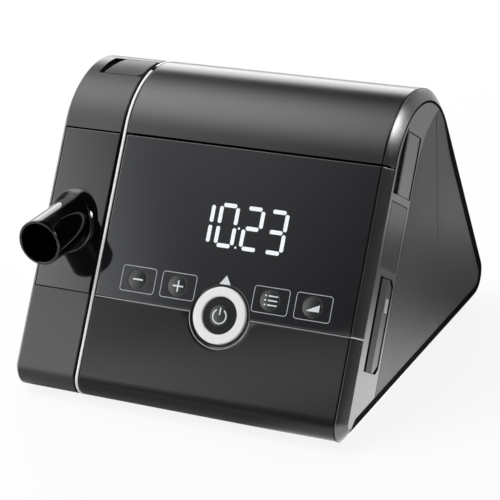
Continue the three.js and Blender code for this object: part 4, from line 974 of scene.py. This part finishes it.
def sunk_cap(place):
    """The latch's own top lies just under the cap: points further than that from the axis of the rounded top
    are brought in to it."""
    middle = (np.array((0, APEX[0], APEX[1])) - CORNER) * MILLIMETRE
    reach, most = place[:, 1:] - middle[1:], (APEX[2] - 0.92) * MILLIMETRE
    distance = np.linalg.norm(reach, axis=1)
    return np.column_stack((place[:, 0], middle[1:] + reach * np.minimum(1, most / distance)[:, None]))


def make_side_panel():
    """The gloss panel: a sheet with rounded edges and a pierced patch where the connector passes."""
    radius, thickness, steps, hole = 0.35, 1.6, 12, 11.5
    left, right, low, high = SHOULDER + 0.3, SIDE_RIGHT - 0.3, WINDOW_LOW, WINDOW_HIGH
    cx, cy, half_x, half_y = TUBE_X, 70.14, 12.3, 15.0
    patch_box = (cx - half_x, cx + half_x, cy - half_y, cy + half_y)
    across = np.concatenate((left + radius * (1 - np.cos(quarter(5))),
                             np.linspace(*patch_box[:2], steps + 1),
                             graded((patch_box[1], right), radius, 2.0)[EDGE_ROWS:]))
    up = np.concatenate((graded((low, patch_box[2]), radius, 3.0)[:-EDGE_ROWS],
                         np.linspace(*patch_box[2:], steps + 1),
                         graded((patch_box[3], high), radius, 3.0)[EDGE_ROWS:]))
    x, along = grid(across, up)
    kept = from_sides(*cell_middles(x, along), *patch_box) < 0
    edge = from_sides(x, along, left, right, low, high)
    sheet = two_sided(skin(x, along, -rolled(edge, radius)), skin(x, along, -thickness))
    patch, patch_faces = holed_patch(cx, cy, half_x, half_y, hole, hole / math.sin(SLOPE), steps, 2, 0.1,
                                     thickness)
    finished("side_gloss_panel", np.concatenate((sheet, on_front(patch))),
             np.concatenate((shell_faces(kept), patch_faces + len(sheet))), panel_gloss, "side_section",
             ["side_front_panel"])


def make_tube():
    """The outlet connector: a tapered tube along Y whose root spreads over the sloping panel. Round the root,
    radius = R + F (1 - sin a) and distance off the panel = H (1 - cos a), as a runs from 90 degrees to 0."""
    height, end, deep, bore, rim, root, lining, edge = 73.0, 8.0, 70.0, 9.4, 10.85, 11.15, 10.6, 0.55
    steps, spread, off, lift = 96, 2.3, 5.0, 0.35
    angle = np.linspace(0, 2 * math.pi, steps, endpoint=False)
    turn = quarter(6)

    def slope_y(radius):
        """Y of the panel's face at the height of a point this far out round the tube."""
        return FOOT[1] + (height + radius * np.sin(angle) - FOOT[2]) / math.tan(SLOPE)

    def ring(radius, y):
        return np.column_stack((TUBE_X + radius * np.cos(angle), np.broadcast_to(y, angle.shape),
                                height + radius * np.sin(angle)))

    rings = [ring(bore, y) for y in (deep, 45.0, 25.0, end + 1.2)] + [ring(bore + 0.05, end + 0.5)]
    rings += [ring(bore + 0.45 - 0.4 * math.cos(t), end + 0.4 - 0.4 * math.sin(t)) for t in turn]
    rings += [ring(rim - edge + edge * math.sin(t), end + edge - edge * math.cos(t)) for t in turn]
    for share in np.linspace(0.04, 1, 12):
        radius = rim + (root - rim) * share
        rings.append(ring(radius, end + edge + share * (slope_y(radius) - off - end - edge)))
    for t in np.linspace(math.pi / 2, 0, 14)[1:]:
        radius = root + spread * (1 - math.sin(t))
        rings.append(ring(radius, slope_y(radius) - lift - (off - lift) * (1 - math.cos(t))))
    rings.append(ring(root + spread, slope_y(root + spread) - 0.02))
    rings += [ring(lining, slope_y(lining) + 1.0), ring(lining, deep)]
    finished("outlet_connector", np.concatenate(rings), ring_faces(len(rings), steps), tube_black,
             "side_section", ["outlet_tube"])


make_top_cover()
make_lower_cover()
make_rear_housing()
make_window()
make_ring()
for key_name, key_x in KEY_PLACES.items():
    make_key(key_name, key_x, KEY_UP, KEY_RADIUS)
make_key("power_button", MIDDLE, POWER_UP, POWER_RADIUS)
make_prints()
make_trim()
make_strip()
make_right_rim()
make_side_seal()
make_web()
make_side_section()
make_side_panel()
make_release_cap()
make_tube()
softened("right_side_panel", "right_panel", 0.25, side_grain, "housing")
softened("port_strip", "port_moulding", 0.25, port_satin, "housing")
softened("blank_plate", "bare_plate", 0.2, satin, "housing")
softened("sd_flap", "card_cover", 0.14, port_satin, "sd_flap",
         shape=flap_shape(front=15.0, new_front=16.0, axis=29.6))
softened("service_flap", "service_cover", 0.14, flap_satin, "service_flap", angle=9,
         shape=flap_shape(front=14.0, new_front=19.2, axis=28.5, ridge=FLAP_RIDGE, fall=1.3),
         cut=ridge_cut(FLAP_RIDGE))
make_flap_tab()
softened("release_button", "release_latch", 0.2, inner_black, "release_button", shape=sunk_cap)
softened("filter_door", "filter_grille", 0.4, satin, "filter_door")
softened("power_inlet", "inlet_block", 0.4, tube_black, "housing")
softened("base_plate", "base_moulding", 0.4, inner_grey, "housing")
for number in range(1, 5):
    softened(f"foot_{number}", f"rubber_foot_{number}", 0.5, rubber_black, "housing")


# Floor, light and camera
def eased(tree, value, low, high, top=1.0):
    """0 up to low, rising smoothly to top at high."""
    made = node(tree, "ShaderNodeMapRange", Value=value, From_Min=low, From_Max=high, To_Min=0.0, To_Max=top)
    made.interpolation_type = "SMOOTHSTEP"
    return made.outputs["Result"]


def chained(tree, operation, first, *others):
    """A chain of maths nodes, such as a sum or a product of several values."""
    for other in others:
        first = maths(tree, operation, first, other)
    return first


def join(tree, share, first, second):
    """A mix of two shaders: none of the second where share is 0, and only the second where it is 1."""
    mix = tree.nodes.new("ShaderNodeMixShader")
    for socket, value in zip(mix.inputs, (share, first.outputs[0], second.outputs[0])):
        tree.links.new(value, socket)
    return mix


def seen_rays(tree):
    """1 for camera and see-through rays, and 1 for mirror rays."""
    rays = tree.nodes.new("ShaderNodeLightPath").outputs
    return maths(tree, "MAXIMUM", rays["Is Camera Ray"], rays["Is Transmission Ray"]), rays["Is Glossy Ray"]


def make_floor():
    """A pale floor. Camera and see-through rays meet it whiter, with the shadow kept in it. Mirror rays meet
    it a little whiter, and beside the object they meet painted light across its depth: a painted pool of light
    towards the front and a painted shadow beside the object's rear."""
    mesh = bpy.data.meshes.new("floor")
    reach = 6.0
    corners = [(-reach, -reach, 0), (reach, -reach, 0), (reach, reach, 0), (-reach, reach, 0)]
    mesh.from_pydata(corners, [], [(0, 1, 2, 3)])
    floor = bpy.data.objects.new("floor", mesh)
    bpy.context.scene.collection.objects.link(floor)
    material = bpy.data.materials.new("pale_floor")
    material.use_nodes = True
    tree = material.node_tree
    lit = tree.nodes["Principled BSDF"]
    lit.inputs["Base Color"].default_value = (0.86, 0.86, 0.86, 1)
    lit.inputs["Roughness"].default_value = 0.7
    white = node(tree, "ShaderNodeEmission", Strength=1.0)
    clear, mirrored = seen_rays(tree)
    parts = tree.nodes.new("ShaderNodeSeparateXYZ")
    tree.links.new(tree.nodes.new("ShaderNodeTexCoord").outputs["Object"], parts.inputs[0])
    x, y = parts.outputs["X"], parts.outputs["Y"]
    # Painted light for mirror rays beside the right side: a bright pool towards the front, a painted shadow of
    # the object beside its rear, and lighter floor further back.
    beside = maths(tree, "MULTIPLY", eased(tree, x, 0.03, 0.08),
                   eased(tree, maths(tree, "MULTIPLY", x, -1.0), -0.27, -0.21))
    near = eased(tree, maths(tree, "MULTIPLY", y, -1.0), -0.09, 0.03, 2.6)
    far = maths(tree, "SUBTRACT", eased(tree, y, 0.13, 0.18, 0.85), eased(tree, y, 0.2, 0.27, 0.35))
    painted_pool_and_shade = node(tree, "ShaderNodeEmission", Strength=chained(tree, "ADD", near, far, 0.2))
    whiter = maths(tree, "MAXIMUM", maths(tree, "MULTIPLY", clear, 0.88),
                   maths(tree, "MULTIPLY", mirrored, 0.15))
    painted_pool_share = maths(tree, "MULTIPLY", mirrored, maths(tree, "MULTIPLY", beside, 0.8))
    mix = join(tree, painted_pool_share, join(tree, whiter, lit, white), painted_pool_and_shade)
    tree.links.new(mix.outputs[0], tree.nodes["Material Output"].inputs["Surface"])
    mesh.materials.append(material)


def make_world():
    """A white studio. Camera and see-through rays meet white. Mirror rays meet a white horizon, a soft light at
    the front left and one above, all in the dark. All other rays meet a plain level."""
    world = bpy.data.worlds.new("studio")
    bpy.context.scene.world = world
    world.use_nodes = True
    tree = world.node_tree
    white_colour = (1, 1, 1, 1)
    plain = tree.nodes["Background"]
    plain.inputs["Color"].default_value = white_colour
    plain.inputs["Strength"].default_value = 0.42
    white = node(tree, "ShaderNodeBackground", Color=white_colour, Strength=1.0)
    ahead = tree.nodes.new("ShaderNodeTexCoord").outputs["Generated"]

    def facing(direction, low, high, top=1.0):
        """The ray's direction against another one, eased."""
        share = maths(tree, "DOT_PRODUCT", ahead, direction, kind="ShaderNodeVectorMath")
        return eased(tree, share, low, high, top)

    away = maths(tree, "ADD", facing((-0.6, 0.8, 0.0), -0.5, 0.1, 0.8), 0.2)
    horizon = maths(tree, "MULTIPLY", facing((0.0, 0.1, -1.0), -0.6, -0.2), away)
    left_light = facing((-0.76, -0.594, 0.259), 0.905, 0.96, 3.6)
    above = chained(tree, "MULTIPLY", facing((0.0, -1.0, 0.0), -0.7, 0.05, 5.0),
                    facing((0.0, 1.0, 0.0), -0.85, -0.2), facing((-1.0, 0.0, 0.0), 0.28, 0.44),
                    facing((1.0, 0.0, 0.0), -0.82, -0.62), facing((0.0, 0.0, 1.0), 0.1, 0.45))
    studio = node(tree, "ShaderNodeBackground", Color=white_colour,
                  Strength=chained(tree, "ADD", horizon, left_light, above, 0.02))
    clear, mirrored = seen_rays(tree)
    mix = join(tree, clear, join(tree, mirrored, plain, studio), white)
    tree.links.new(mix.outputs[0], tree.nodes["World Output"].inputs["Surface"])


def make_lamp(name, place, aim, size, power, mirrored=True, lighting=True, roll=0.0, spread=180.0):
    """A flat lamp of a width and a height in metres, turned to its aim. Either its mirror image or its light
    can be left out."""
    lamp = bpy.data.lights.new(name, "AREA")
    lamp.energy = power
    lamp.shape = "RECTANGLE"
    lamp.size, lamp.size_y = size
    lamp.spread = math.radians(spread)
    holder = bpy.data.objects.new(name, lamp)
    bpy.context.scene.collection.objects.link(holder)
    holder.location = place
    facing = (Vector(place) - Vector(aim)).to_track_quat("Z", "Y")
    holder.rotation_euler = (facing @ Quaternion((0, 0, 1), math.radians(roll))).to_euler()
    holder.visible_camera = False
    holder.visible_glossy = mirrored
    holder.visible_diffuse = lighting


def make_camera():
    """The photograph's camera, by its axes and its place from a fit of the housing's corners."""
    camera = bpy.data.cameras.new("camera")
    camera.lens = 140.91
    camera.sensor_width = 36.0
    camera.clip_start = 0.05
    camera.clip_end = 30.0
    holder = bpy.data.objects.new("camera", camera)
    bpy.context.scene.collection.objects.link(holder)
    right, up, back = (0.8964, 0.4408, -0.0466), (-0.134, 0.3697, 0.9195), (0.4225, -0.818, 0.3904)
    turn = Matrix((right, up, back)).transposed()
    holder.matrix_world = Matrix.Translation((0.39643, -0.77149, 0.41647)) @ turn.to_4x4()
    bpy.context.scene.camera = holder


make_floor()
make_world()
housing_middle = (0, 0, 0.1)
make_lamp("overhead", (-0.62, -0.27, 1.25), housing_middle, (0.9, 0.8), 12.0, mirrored=False)
make_lamp("back_softbox", (-0.67, 1.36, 0.6), housing_middle, (2.2, 0.72), 14.0)
make_lamp("rim_glint", (0.281, 0.052, 0.262), (0.0825, -0.016, 0.126), (0.14, 0.13), 0.05,
          lighting=False, spread=30.0)
make_lamp("front_low", (-0.1207, -0.3535, 0.189), (0.027, -0.0861, 0.0193), (0.2, 0.05), 0.07,
          lighting=False, roll=29.6)
make_camera()
bpy.context.scene.view_settings.view_transform = "Standard"
